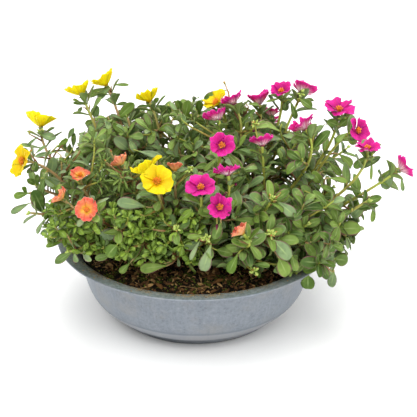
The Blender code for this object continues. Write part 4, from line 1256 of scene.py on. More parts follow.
def soil_material():
    """Potting soil: near-black crumbs with brown fibres, moss and pale specks."""
    s = Surface("soil", roughness=0.95, specular=0.15)
    crumbs = s.noise(300.0, 5.0, 0.75)
    base = s.ramp(crumbs, (0.35, "0A0704"), (0.52, "181009"), (0.62, "3A2715"), (0.74, "75552F"))
    moss = s.times(s.band(s.noise(55.0, 3.0), 0.5, 0.62), s.band(s.noise(500.0, 3.0), 0.42, 0.6))
    base = s.mix(s.times(moss, 0.85), base, "56661E")
    base = s.wash(base, "A98F62", s.noise(650.0, 2.0), 0.66, 0.72, 0.8)
    return s.finish(base, None, s.noise(420.0, 5.0, 0.7), 1.4 * MM, 0.9)


def litter_material(name):
    """Bark, moss, twigs or dead leaves: two tones in streaks."""
    s = Surface(name, roughness=0.85, specular=0.2)
    grain = s.noise(260.0, 5.0, 0.65)
    dark, light = LITTER_TONES[name]
    return s.finish(s.ramp(grain, (0.3, dark), (0.7, light)), None, grain, 0.6 * MM, 0.6)


# Bowl, soil and litter

LITTER_TONES = {"bark": ("150D07", "7A5632"), "husk": ("7A5630", "CCA870"), "moss": ("28300E", "707C28"),
                "twig": ("4E3620", "B08E60"), "dead_leaf": ("3E2412", "8A6234")}

# Chips: tones, how many, sizes (mm), how steeply they may lie, and where
CHIPS = (
    ("bark", 340, (1.2, 4.2), 0.4, "soil"),
    ("bark", 200, (0.8, 2.6), 0.5, "front"),
    ("husk", 120, (0.5, 1.7), 0.3, "front"),
    ("moss", 330, (0.6, 1.5), 1.0, "front"),
    ("husk", 260, (0.3, 0.9), 0.2, "lip"),
    ("bark", 160, (0.3, 1.0), 0.2, "lip"),
)
CHIP_WOBBLE = 0.4
CHIP_LENGTH = 2.2
CHIP_RISE = 0.2

# Places: the shares of the soil's area or radius, the turns that show in front (degrees), and how
# much more dirt lies on the lip's inner side
ANYWHERE = (0.1, 0.96)
TWIG_AREA = (0.2, 0.9)
DEAD_AREA = (0.35, 0.9)
FRONT_TURNS = (200.0, 340.0)
FRONT_SHARES = (0.62, 0.985)
LIP_POWER = 2.2
LIP_CLEAN = 3 * MM
LIP_SINK = 0.1 * MM

# Flakes: how many, lengths, rises, and how much their middles and tips are bent (mm)
FLAKES = 190
FLAKE_LENGTHS = (3.0, 10.0)
FLAKE_RISES = (0.3, 1.0)
FLAKE_BENDS = (0.2, 1.6)
FLAKE_TIPS = (-0.8, 2.2)
FLAKE_WIDTHS = (0.25, 0.5)
FLAKE_THICKNESS = 0.6
FLAKE_EDGE = 0.99

# Twigs: how many, lengths and radii (mm), how even, and where their bends are
TWIGS = 74
TWIG_LENGTHS = (5, 20)
TWIG_RADII = (0.3, 0.75)
TWIG_EVENNESS = (0.75, 1.1)
TWIG_POINTS = (-0.5, -0.2, 0.2, 0.5)
TWIG_PARTS = 6
TWIG_EDGE = 0.97
TWIG_RISE = 0.5 * MM

# Dead leaves: how many, lengths, rise, and how much their middles and tips are bent (mm)
DEAD_LEAVES = 54
DEAD_LENGTHS = (6, 14)
DEAD_RISE = 0.6
DEAD_BENDS = (0.5, 2.0)
DEAD_TIPS = (-0.5, 2.5)
DEAD_WIDTHS = (0.3, 0.5)
DEAD_THICKNESS = 0.5
DEAD_EDGE = 0.95

# The soil's crumbs: cycles a metre and height (mm)
CRUMBS = ((120.0, 1.5), (330.0, 1.0), (800.0, 0.5))
CRUMB_SINK = 0.3


def smooth_profile(profile, steps):
    """A Catmull-Rom curve through the points of a profile."""
    points = [Vector(p) for p in profile]
    points = [points[0] * 2.0 - points[1]] + points + [points[-1] * 2.0 - points[-2]]
    curve = []
    for a, b, c, d in zip(points, points[1:], points[2:], points[3:]):
        for i in range(steps):
            t = i / steps
            curve.append(0.5 * ((2.0 * b) + (c - a) * t + (2.0 * a - 5.0 * b + 4.0 * c - d) * t * t
                                + (3.0 * b - a - 3.0 * c + d) * t**3))
    curve.append(points[-2])
    return curve


def offset_profile(curve, distance):
    """A profile moved square to itself, up and in for a positive distance."""
    moved = []
    for i, point in enumerate(curve):
        run = (curve[min(i + 1, len(curve) - 1)] - curve[max(i - 1, 0)]).normalized()
        moved.append(point + Vector((-run.y, run.x)) * distance)
    return moved


def spin(profile, turns):
    """Turn a profile about the vertical, closed on the axis at both ends."""
    bm = bmesh.new()
    rings = []
    for radius, height in profile:
        around = [math.tau * i / turns for i in range(turns)]
        rings.append([bm.verts.new((radius * math.cos(a), radius * math.sin(a), height)) for a in around])
    for lower, upper in zip(rings, rings[1:]):
        for i in range(turns):
            j = (i + 1) % turns
            bm.faces.new((lower[i], lower[j], upper[j], upper[i]))
    bm.faces.new(rings[0][::-1])
    bm.faces.new(rings[-1])
    return bm


def place_mesh(bm, name, material, slot, *nodes):
    """Turn a bmesh into a smooth piece."""
    mesh = bpy.data.meshes.new(name)
    for face in bm.faces:
        face.smooth = True
    bm.to_mesh(mesh)
    bm.free()
    mesh.materials.append(material)
    return add_piece(name, mesh, nodes)


def dress_bowl():
    """The spun bowl with a rounded lip edge and clear drain holes."""
    curve = smooth_profile(sheet_profile(), SHEET_STEPS)
    half = 0.5 * SHEET
    under = offset_profile(curve, -half)
    over = offset_profile(curve, half)
    bead = [curve[-1] + Vector((math.cos(a), math.sin(a))) * half for a in LIP_BEAD]
    profile = [Vector((FOOT_RADIUS, 0.0))] + under[1:] + bead + over[::-1]
    bowl = place_mesh(spin(profile, BOWL_TURNS), "zinc_bowl", zinc_material(), "zinc", "bowl")
    bowl.data.set_sharp_from_angle(angle=SHARP_EDGE)
    plugs = bmesh.new()
    for i in range(DRAIN_HOLES):
        turn = math.tau * (i + 0.5) / DRAIN_HOLES
        spot = (DRAIN_RING_RADIUS * math.cos(turn), DRAIN_RING_RADIUS * math.sin(turn), 0.0)
        bmesh.ops.create_cone(plugs, cap_ends=True, segments=DRAIN_HOLE_CUTS, radius1=DRAIN_HOLE_RADIUS,
                              radius2=DRAIN_HOLE_RADIUS, depth=8 * SHEET, matrix=Matrix.Translation(spot))
    data = bpy.data.meshes.new("cutter")
    plugs.to_mesh(data)
    plugs.free()
    cutter = add_object("cutter", data)
    modifier = bowl.modifiers.new("drain", "BOOLEAN")
    modifier.operation = "DIFFERENCE"
    modifier.solver = "EXACT"
    modifier.object = cutter
    graph = bpy.context.evaluated_depsgraph_get()
    cut = bpy.data.meshes.new_from_object(bowl.evaluated_get(graph))
    bowl.modifiers.clear()
    bowl.data = cut
    bpy.data.objects.remove(cutter, do_unlink=True)


def soil_top(x, y):
    """Height of the fine soil: the solid's surface with crumbs and small hollows."""
    place = Vector((x, y, 0.0))
    edge = max(0.0, 1.0 - math.hypot(x, y) / SOIL_RADIUS)
    lumps = sum(noise.noise(place * scale) * height for scale, height in CRUMBS)
    return soil_height(x, y) + (lumps - CRUMB_SINK) * MM * min(1.0, 0.3 + 8.0 * edge)


def dress_soil():
    """The soil's crumbly surface down to the floor of the bowl."""
    wall = sheet_side(0.5 * SHEET + CLEARANCE)[:SOIL_WALL_POINTS]
    steps = [(SOIL_RADIUS * (1.0 - i / SOIL_STEPS), SOIL_EDGE_HEIGHT) for i in range(SOIL_STEPS)]
    bm = spin(wall + steps, SOIL_TURNS)
    bm.verts.ensure_lookup_table()
    for vert in bm.verts[SOIL_WALL_POINTS * SOIL_TURNS:]:
        vert.co.z = soil_top(vert.co.x, vert.co.y)
    place_mesh(bm, "potting_soil", soil_material(), "soil", "soil")


def scatter(rng, nearest, farthest):
    """A random place on the soil, between two shares of its area from the middle."""
    reach = SOIL_RADIUS * math.sqrt(rng.uniform(nearest, farthest))
    turn = rng.uniform(0.0, math.tau)
    return reach * math.cos(turn), reach * math.sin(turn)


def on_soil(rng):
    """A random place on the soil, not at its very middle."""
    x, y = scatter(rng, *ANYWHERE)
    return x, y, soil_top(x, y)


def at_front(rng):
    """A random place on the soil that shows in front."""
    turn = math.radians(rng.uniform(*FRONT_TURNS))
    reach = SOIL_RADIUS * rng.uniform(*FRONT_SHARES)
    x, y = reach * math.cos(turn), reach * math.sin(turn)
    return x, y, soil_top(x, y)


def on_lip(rng):
    """A random place on the flat lip, more often on its inner side."""
    turn = rng.uniform(0.0, math.tau)
    share = rng.random() ** LIP_POWER
    reach = RIM_RADIUS - LIP_WIDTH + share * (LIP_WIDTH - LIP_CLEAN)
    height = RIM_HEIGHT - LIP_RISE * (1.0 - share)
    return reach * math.cos(turn), reach * math.sin(turn), height - LIP_SINK


def add_chips(rng, materials):
    """Bark chips, crumbs and moss on the soil, and dirt on the lip."""
    batch = Batch(*[materials[name] for name in ("bark", "husk", "moss")])
    places = {"soil": on_soil, "front": at_front, "lip": on_lip}
    for name, count, sizes, steep, where in CHIPS:
        for _ in range(count):
            x, y, z = places[where](rng)
            size = rng.uniform(*sizes) * MM
            lie = Vector((rng.uniform(-1, 1), rng.uniform(-1, 1), rng.uniform(-steep, steep))).normalized()
            base = Vector((x, y, z + CHIP_RISE * size)) - lie * size
            raise_ovoid(batch, base, lie, CHIP_LENGTH * size, sized(CHIP, size), materials[name],
                        rng.random(), 5, CHIP_WOBBLE, rng)
    batch.make("bark_chips", "soil")


def lying_blade(rng, spot, lengths, rise, bends, tips):
    """Length, root, middle and tip of a blade lying on the soil in any direction.

    The rise is a function, so that a drawn one is drawn after the blade's length.
    """
    heading = rng.uniform(0.0, math.tau)
    length = rng.uniform(*lengths) * MM
    level = Vector((math.cos(heading), math.sin(heading), 0.0))
    x, y, z = spot
    root = Vector((x, y, z + rise() * MM))
    middle = root + level * (LEAF_WIDEST * length) + UP * (rng.uniform(*bends) * MM)
    tip = root + level * length + UP * (rng.uniform(*tips) * MM)
    return length, root, middle, tip


def add_flakes(rng, bark, husk):
    """Flakes of bark, tilted at random."""
    batch = Batch(husk, bark)
    for i in range(FLAKES):
        spot = at_front(rng) if i % 2 else on_soil(rng)
        length, *spots = lying_blade(rng, spot, FLAKE_LENGTHS, lambda: rng.uniform(*FLAKE_RISES),
                                     FLAKE_BENDS, FLAKE_TIPS)
        if math.hypot(spots[2].x, spots[2].y) > FLAKE_EDGE * SOIL_RADIUS:
            continue
        tilt = (UP + Vector((rng.uniform(-0.5, 0.5), rng.uniform(-0.5, 0.5), 0.0))).normalized()
        raise_leaf(batch, spots, tilt, length * rng.uniform(*FLAKE_WIDTHS), OVAL, FLAKE_THICKNESS,
                   rng.random(), rng, bark if i % 3 == 0 else husk)
    batch.make("bark_flakes", "soil")


def add_twigs(rng, material):
    """Short crooked twigs."""
    batch = Batch(material)
    for _ in range(TWIGS):
        x0, y0 = scatter(rng, *TWIG_AREA)
        length = rng.uniform(*TWIG_LENGTHS) * MM
        heading = rng.uniform(0.0, math.tau)
        points = []
        for share in TWIG_POINTS:
            x = x0 + share * length * math.cos(heading) + rng.uniform(-1, 1) * MM
            y = y0 + share * length * math.sin(heading) + rng.uniform(-1, 1) * MM
            scale = min(1.0, TWIG_EDGE * SOIL_RADIUS / math.hypot(x, y))
            points.append(Vector((x * scale, y * scale, soil_top(x * scale, y * scale) + TWIG_RISE)))
        axis = Axis("", "", points, 0.5 * MM, UP.cross(points[3] - points[0]))
        thick = rng.uniform(*TWIG_RADII) * MM
        ways = [axis.length * i / TWIG_PARTS for i in range(TWIG_PARTS + 1)]
        stations = [(way, thick * rng.uniform(*TWIG_EVENNESS)) for way in ways]
        raise_tube(batch, axis, stations, material, TWIG_SIDES)
    batch.make("twigs", "soil")


def add_dead_leaves(rng, material):
    """Dry brown leaves."""
    batch = Batch(material)
    for _ in range(DEAD_LEAVES):
        x, y = scatter(rng, *DEAD_AREA)
        spot = (x, y, soil_top(x, y))
        length, *spots = lying_blade(rng, spot, DEAD_LENGTHS, lambda: DEAD_RISE, DEAD_BENDS, DEAD_TIPS)
        if math.hypot(spots[2].x, spots[2].y) > DEAD_EDGE * SOIL_RADIUS:
            continue
        raise_leaf(batch, spots, UP, length * rng.uniform(*DEAD_WIDTHS), SPOON, DEAD_THICKNESS, rng.random(),
                   rng, material)
    batch.make("dead_leaves", "soil")


def dress_litter(rng):
    """All that lies on the soil and the lip."""
    materials = {name: litter_material(name) for name in LITTER_TONES}
    add_chips(rng, materials)
    add_flakes(rng, materials["bark"], materials["husk"])
    add_twigs(rng, materials["twig"])
    add_dead_leaves(rng, materials["dead_leaf"])


# The photograph's frame, and what was read from it in pixels

PHOTO_WIDTH = 417
PHOTO_MIDDLE = 0.5 * PHOTO_WIDTH

# Outline of the foliage, without the blooms and the stems that carry them: (u, v) from left to right
TOP_OUTLINE = ((8, 205), (24, 190), (40, 172), (56, 158), (72, 156), (82, 134), (92, 118), (108, 116),
               (122, 110), (140, 108), (160, 104), (178, 100), (198, 98), (222, 103), (244, 110),
               (262, 118), (284, 122), (300, 140), (316, 150), (334, 160), (344, 172), (352, 190),
               (362, 204), (392, 215), (410, 225))
LOW_OUTLINE = ((8, 214), (30, 222), (44, 240), (56, 247), (74, 254), (90, 256), (108, 257), (116, 262),
               (150, 266), (176, 262), (206, 268), (232, 270), (262, 272), (284, 276), (306, 282),
               (330, 280), (350, 258), (362, 232), (380, 212), (410, 194))

# Places where the background shows through: u, v, half width, half height
GAPS = ((50, 196, 6, 7), (88, 108, 5, 8), (105, 108, 5, 8), (71, 150, 3, 6), (163, 141, 6, 7),
        (95, 157, 3, 3), (191, 129, 4, 2), (243, 132, 4, 5), (246, 164, 4, 4), (273, 176, 4, 4),
        (275, 158, 5, 3), (268, 106, 6, 5), (311, 122, 9, 14), (333, 147, 8, 8), (297, 130, 4, 5),
        (362, 186, 10, 10), (347, 207, 4, 5), (352, 190, 6, 6), (340, 190, 5, 4), (330, 182, 5, 4),
        (20, 165, 8, 14), (346, 172, 5, 4), (250, 175, 4, 2), (257, 139, 3, 4), (283, 139, 4, 3),
        (321, 130, 5, 8), (286, 126, 3, 4), (141, 133, 3, 3), (169, 147, 4, 2), (128, 121, 4, 3),
        (173, 124, 5, 2), (72, 214, 3, 3))

# Leaves seen clearly: root and tip (u, v), width (mm), about how far back (mm), tone
SEEN_LEAVES = (
    (89, 104, 73, 103, 4, 20, 0.35), (82, 107, 78, 113, 4, 20, 0.3), (110, 87, 87, 97, 8, 40, 0.4),
    (110, 88, 98, 99, 8, 36, 0.6), (112, 85, 129, 85, 3.5, 40, 0.35), (94, 117, 98, 106, 9, 20, 0.6),
    (97, 120, 85, 124, 5, 20, 0.4), (116, 120, 134, 103, 11, 30, 0.4), (115, 105, 127, 103, 4, 40, 0.2),
    (151, 106, 137, 108, 5, 38, 0.15), (151, 104, 146, 98, 4.5, 44, 0.2),
    (153, 105, 159, 98, 5, 42, 0.35), (154, 106, 164, 107, 3, 38, 0.35),
    (171, 116, 167, 106, 5, 20, 0.1), (181, 112, 177, 100, 8, 30, 0.2),
    (184, 121, 189, 100, 10, 20, 0.4), (199, 114, 199, 100, 8, 30, 0.25),
    (199, 116, 214, 110, 5, 0, 0.62), (226, 90, 204, 100, 9, 40, 0.3),
    (246, 104, 219, 108, 4.5, 10, 0.6), (247, 104, 259, 105, 4, 20, 0.4),
    (253, 111, 239, 109, 5, 20, 0.2), (39, 136, 27, 146, 3, 0, 0.62), (41, 135, 56, 138, 8.5, 0, 0.65),
    (35, 154, 46, 146, 3.5, -20, 0.62), (56, 152, 35, 157, 5, -20, 0.65),
    (50, 179, 54, 157, 11, -30, 0.66), (73, 166, 58, 169, 7, -20, 0.64), (58, 146, 68, 139, 5, 0, 0.86),
    (73, 148, 75, 133, 5.5, 10, 0.15), (68, 139, 74, 128, 5, 10, 0.62),
    (44, 214, 33, 190, 14, -60, 0.05), (30, 203, 11, 213, 6.5, -50, 0.64),
    (29, 193, 14, 197, 7, -50, 0.84), (27, 193, 22, 187, 5, -50, 0.82), (35, 184, 27, 179, 6, -45, 0.3),
    (37, 186, 37, 174, 5, -45, 0.2), (36, 162, 34, 172, 8.5, -45, 0.1),
    (129, 150, 114, 138, 12.5, -10, 0.68), (138, 151, 163, 158, 8, -20, 0.68),
    (180, 155, 166, 152, 4, -20, 0.62), (184, 155, 197, 150, 5, -20, 0.62),
    (190, 168, 177, 171, 4, -70, 0.66), (194, 168, 208, 165, 7, -70, 0.4),
    (193, 175, 187, 186, 8, -75, 0.68), (145, 191, 137, 199, 4.5, -100, 0.66),
    (146, 207, 117, 202, 12, -95, 0.66), (177, 223, 193, 210, 7.5, -100, 0.9),
    (175, 226, 157, 223, 4, -100, 0.6), (44, 219, 37, 234, 4.5, -70, 0.7),
    (62, 242, 46, 247, 6, -80, 0.86), (117, 245, 107, 256, 13, -105, 0.8),
    (109, 256, 95, 259, 8, -95, 0.55), (130, 263, 120, 273, 7, -95, 0.4),
    (166, 266, 140, 269, 11, -98, 0.5), (211, 245, 203, 271, 12, -112, 0.7),
    (200, 240, 190, 260, 5, -112, 0.72), (208, 237, 187, 237, 6, -112, 0.5),
    (177, 232, 170, 241, 6, -108, 0.95), (104, 233, 121, 232, 8, -95, 0.45),
    (97, 204, 109, 198, 2.5, -110, 0.7), (85, 219, 77, 226, 6, -105, 0.74),
    (101, 230, 98, 213, 7, -95, 0.3), (238, 254, 229, 273, 10, -112, 0.82),
    (248, 242, 261, 259, 8, -112, 0.45), (266, 234, 249, 233, 9, -108, 0.68),
    (275, 232, 286, 228, 10, -100, 0.6), (278, 240, 299, 241, 11.5, -100, 0.45),
    (273, 240, 290, 259, 15, -108, 0.66), (279, 258, 287, 276, 14, -104, 0.5),
    (292, 256, 296, 271, 9, -98, 0.4), (277, 201, 295, 216, 11, -95, 0.66),
    (278, 200, 289, 194, 11, -85, 0.5), (269, 199, 253, 211, 6, -90, 0.45),
    (305, 233, 290, 224, 11, -85, 0.45), (301, 237, 315, 257, 10, -90, 0.4),
    (321, 212, 310, 221, 11, -60, 0.66), (335, 232, 323, 227, 10.5, -65, 0.6),
    (337, 229, 361, 229, 15, -60, 0.5), (319, 266, 303, 271, 10, -85, 0.82),
    (308, 275, 308, 289, 14, -86, 0.8), (334, 272, 331, 287, 9, -70, 0.66),
    (335, 259, 348, 261, 15, -65, 0.55), (368, 202, 352, 217, 11, -50, 0.66),
    (375, 202, 372, 222, 5, -45, 0.5), (313, 195, 333, 208, 6.5, -60, 0.4),
    (253, 264, 270, 266, 6, -108, 0.3), (346, 236, 348, 249, 4, -60, 0.66),
    (232, 186, 239, 206, 12, -90, 0.62), (221, 223, 214, 239, 10, -112, 0.2),
    (217, 250, 233, 254, 12, -100, 0.3), (220, 156, 204, 171, 4.5, -85, 0.5),
    (226, 152, 241, 168, 8, -80, 0.3), (246, 189, 264, 177, 8, -60, 0.62),
    (339, 154, 352, 166, 9, -20, 0.5), (329, 162, 341, 175, 7.5, -20, 0.5),
    (347, 177, 359, 198, 6, -40, 0.25), (369, 155, 354, 168, 8, -50, 0.3),
    (372, 157, 371, 180, 3, -50, 0.5), (394, 169, 384, 189, 11, -40, 0.66),
    (392, 168, 380, 184, 9, -30, 0.5), (401, 176, 403, 191, 4, -40, 0.62),
    (338, 126, 327, 121, 9, -10, 0.3), (340, 126, 349, 118, 9, -10, 0.3),
    (325, 124, 317, 133, 4, -5, 0.62), (347, 133, 336, 142, 7, -30, 0.45),
    (348, 136, 356, 144, 8, -30, 0.45), (300, 99, 312, 108, 9, 20, 0.3),
    (290, 100, 296, 119, 6, 20, 0.2), (286, 101, 285, 111, 7, 25, 0.15),
    (282, 98, 266, 102, 3, 20, 0.5), (259, 108, 257, 119, 5, 30, 0.35),
    (304, 137, 291, 143, 9, -25, 0.4), (308, 139, 319, 150, 9, -25, 0.45),
    (320, 183, 313, 171, 11, -40, 0.5), (311, 197, 301, 186, 11, -50, 0.55),
    (276, 192, 276, 183, 8, -60, 0.5), (329, 178, 347, 182, 7, -50, 0.5),
)

# Clusters of green seed capsules and small buds: u, v, how far back (mm), how many
CAPSULES = ((177, 229, -110, 12), (206, 239, -116, 14), (190, 170, -75, 11), (273, 198, -92, 12),
            (271, 234, -110, 16), (254, 271, -112, 18), (369, 200, -52, 14), (398, 170, -40, 9),
            (370, 156, -55, 8), (247, 239, -118, 7), (255, 125, -30, 8), (40, 132, 0, 7),
            (148, 106, 40, 4), (302, 94, 20, 6), (310, 137, -28, 6), (228, 182, -90, 8),
            (262, 147, 20, 4), (342, 118, -12, 4))

# Single coloured buds and spent blooms on short stalks: u, v, how far back (mm), length (mm)
RED_BUDS = ((111, 153, -60, 4.5), (77, 181, -85, 3.5), (239, 241, -118, 3), (246, 241, -118, 3),
            (280, 194, -92, 3), (65, 196, -80, 3.5))
ORANGE_BUDS = ((225, 84, 10, 4.5), (29, 134, 0, 4), (30, 152, -50, 4), (106, 162, -70, 4))
SPENT_BLOOMS = ((235, 184, -95, 5), (226, 192, -95, 6), (231, 213, -120, 6), (217, 224, -118, 6),
                (315, 133, -25, 4), (66, 202, -80, 4), (254, 131, -20, 4))

# How much of a bloom's stem the photograph shows below the bloom (mm)
BARE_STEMS = {"yellow_1": 45, "yellow_2": 42, "yellow_3": 40, "yellow_4": 40, "yellow_5": 46,
              "yellow_6": 32, "yellow_8": 30, "magenta_1": 42, "magenta_2": 36, "magenta_3": 26,
              "magenta_4": 20, "magenta_8": 44,
              "magenta_9": 44, "magenta_11": 62, "magenta_12": 32, "magenta_13": 64, "magenta_14": 56,
              "magenta_15": 66, "magenta_16": 60, "coral_2": 18, "coral_4": 42, "coral_3": 20}
BARE_STEP = 5 * MM
BARE_WIDTH = 3.6 * MM

# Where random shoots grow: kind, range of u, range of v, range of depth (mm), how many
SHOOT_ZONES = (
    ("lime", (46, 116), (208, 254), (-105, -50), 50),
    ("lime", (112, 202), (212, 264), (-112, -76), 56),
    ("tuft", (98, 170), (160, 214), (-90, -20), 44),
    ("spoon", (40, 110), (136, 214), (-70, 40), 26),
    ("spoon", (74, 240), (104, 166), (-30, 80), 62),
    ("spoon", (165, 250), (164, 236), (-100, -10), 34),
    ("broad", (222, 342), (196, 276), (-105, -30), 56),
    ("broad", (236, 330), (140, 200), (-60, 40), 16),
    ("spoon", (236, 300), (112, 165), (-20, 70), 14),
    ("broad", (318, 360), (190, 264), (-80, -20), 14),
)
BACK_ZONE = ((-150, 150), (40, 135), (95, 178))
BACK_SHOOTS = 70
SHOOT_TRIES = 12
FARTHEST_HOST = 48 * MM

# What random leaves keep clear of: the edge of the model, the soil, the blooms and what is seen.
# A bloom is kept in sight if it faces the camera (its least cosine) or stands high (m)
MOST_SPOTS = 90000
BOX_MARGIN = 2 * MM
SOIL_GAP = 1.5 * MM
BLOOM_ROOM = (-2 * MM, 14 * MM)
BLOOM_MARGIN = 1.05
SIGHT_MARGIN = 3 * MM
SEEN_SHARE = 0.98
FACING_SEEN = -0.2
SEEN_ABOVE = 0.19

# Leaves: tries for a roomy place, how far down a face may look, and a wide one's least share
LEAF_TRIES = 5
FACE_DOWN = -0.35
WIDE_LEAF = 0.55
SEEN_THICKNESS = 0.9

# A leaf's probes, and where a seen leaf is kept in sight: share of its length, share of its width
PROBE_SHARE = 0.6
SEEN_SPOTS = ((0.3, 0.35), (0.62, 0.5), (0.85, 0.4))

# Radii of side shoots at their foot and their end (mm), and how thick their axes are drawn
SEEN_TWIG = (1.0, 0.7)
BUD_TWIG = (1.0, 0.65)
SHOOT_TWIG = (1.2, 0.75)
FINE_TWIG = 0.9 * MM
SHOOT_AXIS = 1.2 * MM
SWELL = 1.12

# How a side shoot finds the nearest stem: what a stem above or ahead of its end counts extra,
# how far down it leaves that stem, and how far its curve's handles reach
ABOVE_COST = 0.35
ABOVE_FROM = 6 * MM
AHEAD_COST = 0.6
LEAVE_LOWER = 0.4
LOWEST_TWIG = 3 * MM
TWIG_HANDLE = 0.36
TWIG_END_HANDLE = 0.3
TWIG_THIN = 0.6
TWIG_HINT = Vector((1.0, 0.3, 0.2))
HOST_SKIP = (5 * MM, 4 * MM)
HOST_STEP = 4 * MM
FARTHEST_BUD_HOST = 1.6 * FARTHEST_HOST

# A random leaf: how it may turn and climb, what each try adds, its lift, sag and droop
TURN_SWING = 0.45
CLIMB_SWING = 0.25
TRY_SWING = 0.5
TRY_SHRINK = 0.07
LEAF_LIFT = 0.12
MIDRIB_SAG = 0.05
TIP_SAG = 0.25
TIP_DROOPS = (0.0, 0.7)
LEAF_FOOT = 0.6

# An end rosette: how far its leaves go down the stem (mm), their climbs in degrees, and lengths
SMALL_ROSETTE = 5.0
ROSETTE = 8.0
TOP_CLIMB = 68
CLIMB_DROP = 52
YOUNG_LENGTH = 0.15
ROSETTE_SIZES = (0.85, 1.1)
STEM_CLIMBS = (0, 40)
STEM_SHARES = (0.2, 0.8)
ROSETTE_TOP = 1.0

# The ends of the solid's stems, above their necks: distances and radii (mm), the last one of a
# bloom's stem just below its end; and the stems' tones on the left and the right of the pot
BLOOM_NECK = ((2, 1.3), (4.5, 1.9))
NECK_TOP = (0.2 * MM, 1.7 * MM)
SHOOT_NECK = ((3, 1.1),)
LEFT_TONES = (0.45, 1.0)
RIGHT_TONES = (0.0, 0.45)
OVAL_WIDER = 1.12

# Where random leaves start and end on a shoot and on a stem
SHOOT_BARE_SHARE = 0.3
SHOOT_TOP_BARE = 7 * MM
STEM_BARE = 10
BRANCH_BARE = 6
TOP_BARE = 16 * MM

# Least distances between random leaves and between shoots' ends (mm)
CLOSE_LEAVES = 1.6
OPEN_LEAVES = 3.0
STEM_LEAVES = 4.0
CLOSE_SHOOTS = 5
OPEN_SHOOTS = 8

# Sepals under a bloom: width, drop and reach of their roots, lengths to their middle and tip,
# how far their tips bend, and tones
SEPAL_WIDTH = 4.6 * MM
SEPAL_DROP = 2.6 * MM
SEPAL_ROOT = 1.0 * MM
SEPAL_MIDDLE = 3.2 * MM
SEPAL_LENGTH = 5.0 * MM
SEPAL_BEND = 0.6 * MM
SEPAL_TONES = (0.5, 0.85)

# Buds at a shoot's end, and seed capsules: numbers, sizes, tones, and how far they spread
BUD_NUMBERS = (2, 3, 4)
BUD_SIZES = (0.55, 0.9)
BUD_SPREADS = (0.2, 0.8)
BUD_DROP = 2.5 * MM
BUD_RIPENESS = 0.75
CAPSULE_NUMBER = 1.3
CAPSULE_SIZES = (0.42, 0.72)
CAPSULE_SPREADS = (0.2, 1.5)
RED_SHARE = 0.12
RED_TONES = (0.72, 0.9)
GREEN_TONES = (0.0, 0.6)
RED_TONE = 1.0
ORANGE_TONE = 0.78
CAPSULES_SEEN = 3.5 * MM
BUD_SEEN = 2 * MM
SPENT_SEEN = 2.5 * MM
SPENT_WOBBLE = 0.35


class Canopy:
    """Where leaves already are, and what random ones have to stay out of."""

    def __init__(self, eye):
        self.eye = eye
        self.ahead = np.array((TARGET - eye).normalized()[:])
        self.across = np.array((1.0, 0.0, 0.0))
        self.upright = np.cross(self.across, self.ahead)
        self.scale = LENS / SENSOR * PHOTO_WIDTH
        self.spots = np.zeros((MOST_SPOTS, 3))
        self.count = 0
        self.sights = []
        self.blooms = []
        for name in BLOOMS:
            _, facing = bloom_base(name)
            middle = Vector(BLOOMS[name][1]) * MM
            radius = BLOOMS[name][4] * MM
            self.blooms.append((np.array(middle[:]), radius, np.array(facing[:])))
            if facing.dot((eye - middle).normalized()) > FACING_SEEN or middle.z > SEEN_ABOVE:
                self.keep_in_sight(middle, radius * SEEN_SHARE)

    def keep_in_sight(self, middle, radius):
        """Nothing random may come between the camera and this place."""
        sight = np.array((middle - self.eye)[:])
        far = np.linalg.norm(sight)
        self.sights.append((*(sight / far), far - SIGHT_MARGIN, radius))

    def from_photo(self, u, v, y):
        """The point that the photograph shows at a pixel, at a distance y behind the middle."""
        ray = Vector((self.ahead * self.scale + self.across * (u - PHOTO_MIDDLE)
                      + self.upright * (PHOTO_MIDDLE - v)).tolist())
        return self.eye + ray * ((y - self.eye.y) / ray.y)

    def to_photo(self, places):
        """Pixels at which the photograph would show some points."""
        out = places - np.array(self.eye[:])
        depth = out @ self.ahead
        return (PHOTO_MIDDLE + self.scale * (out @ self.across) / depth,
                PHOTO_MIDDLE - self.scale * (out @ self.upright) / depth)

    def room(self, points):
        """Least distance from some points to the leaves there, or -1 where a point is not allowed."""
        places = np.array([p[:] for p in points])
        low, high = np.array(CAD_BOX[0]), np.array(CAD_BOX[1])
        if (places < low - BOX_MARGIN).any() or (places > high).any():
            return -1.0
        for point in points:
            if below_ground(point, SOIL_GAP):
                return -1.0
        u, v = self.to_photo(places)
        if (v < np.interp(u, *zip(*TOP_OUTLINE))).any() or (v > np.interp(u, *zip(*LOW_OUTLINE))).any():
            return -1.0
        for middle_u, middle_v, wide, high in GAPS:
            if (((u - middle_u) / wide) ** 2 + ((v - middle_v) / high) ** 2 < 1.0).any():
                return -1.0
        for middle, radius, facing in self.blooms:
            apart = places - middle
            ahead = apart @ facing
            beside = np.linalg.norm(apart - np.outer(ahead, facing), axis=1)
            near, far = BLOOM_ROOM
            if ((ahead > near) & (ahead < far) & (beside < radius * BLOOM_MARGIN)).any():
                return -1.0
        sights = np.array(self.sights)
        out = places - np.array(self.eye[:])
        depth = out @ sights[:, :3].T
        off = (out * out).sum(axis=1)[:, None] - depth * depth
        if ((depth < sights[:, 3]) & (off < sights[:, 4] ** 2)).any():
            return -1.0
        if self.count == 0:
            return 1.0
        apart = self.spots[None, :self.count, :] - places[:, None, :]
        return math.sqrt((apart * apart).sum(axis=2).min())

    def take(self, points):
        """Note the places of a leaf that grew."""
        for point in points:
            self.spots[self.count] = point[:]
            self.count += 1


def axis_samples(axes):
    """Places along all axes, with the axis and the distance that each belongs to."""
    places, owners = [], []
    for axis in axes:
        for way in np.arange(HOST_SKIP[0], axis.length - HOST_SKIP[1], HOST_STEP):
            places.append(axis.frame(way)[0][:])
            owners.append((axis, float(way)))
    return np.array(places), owners


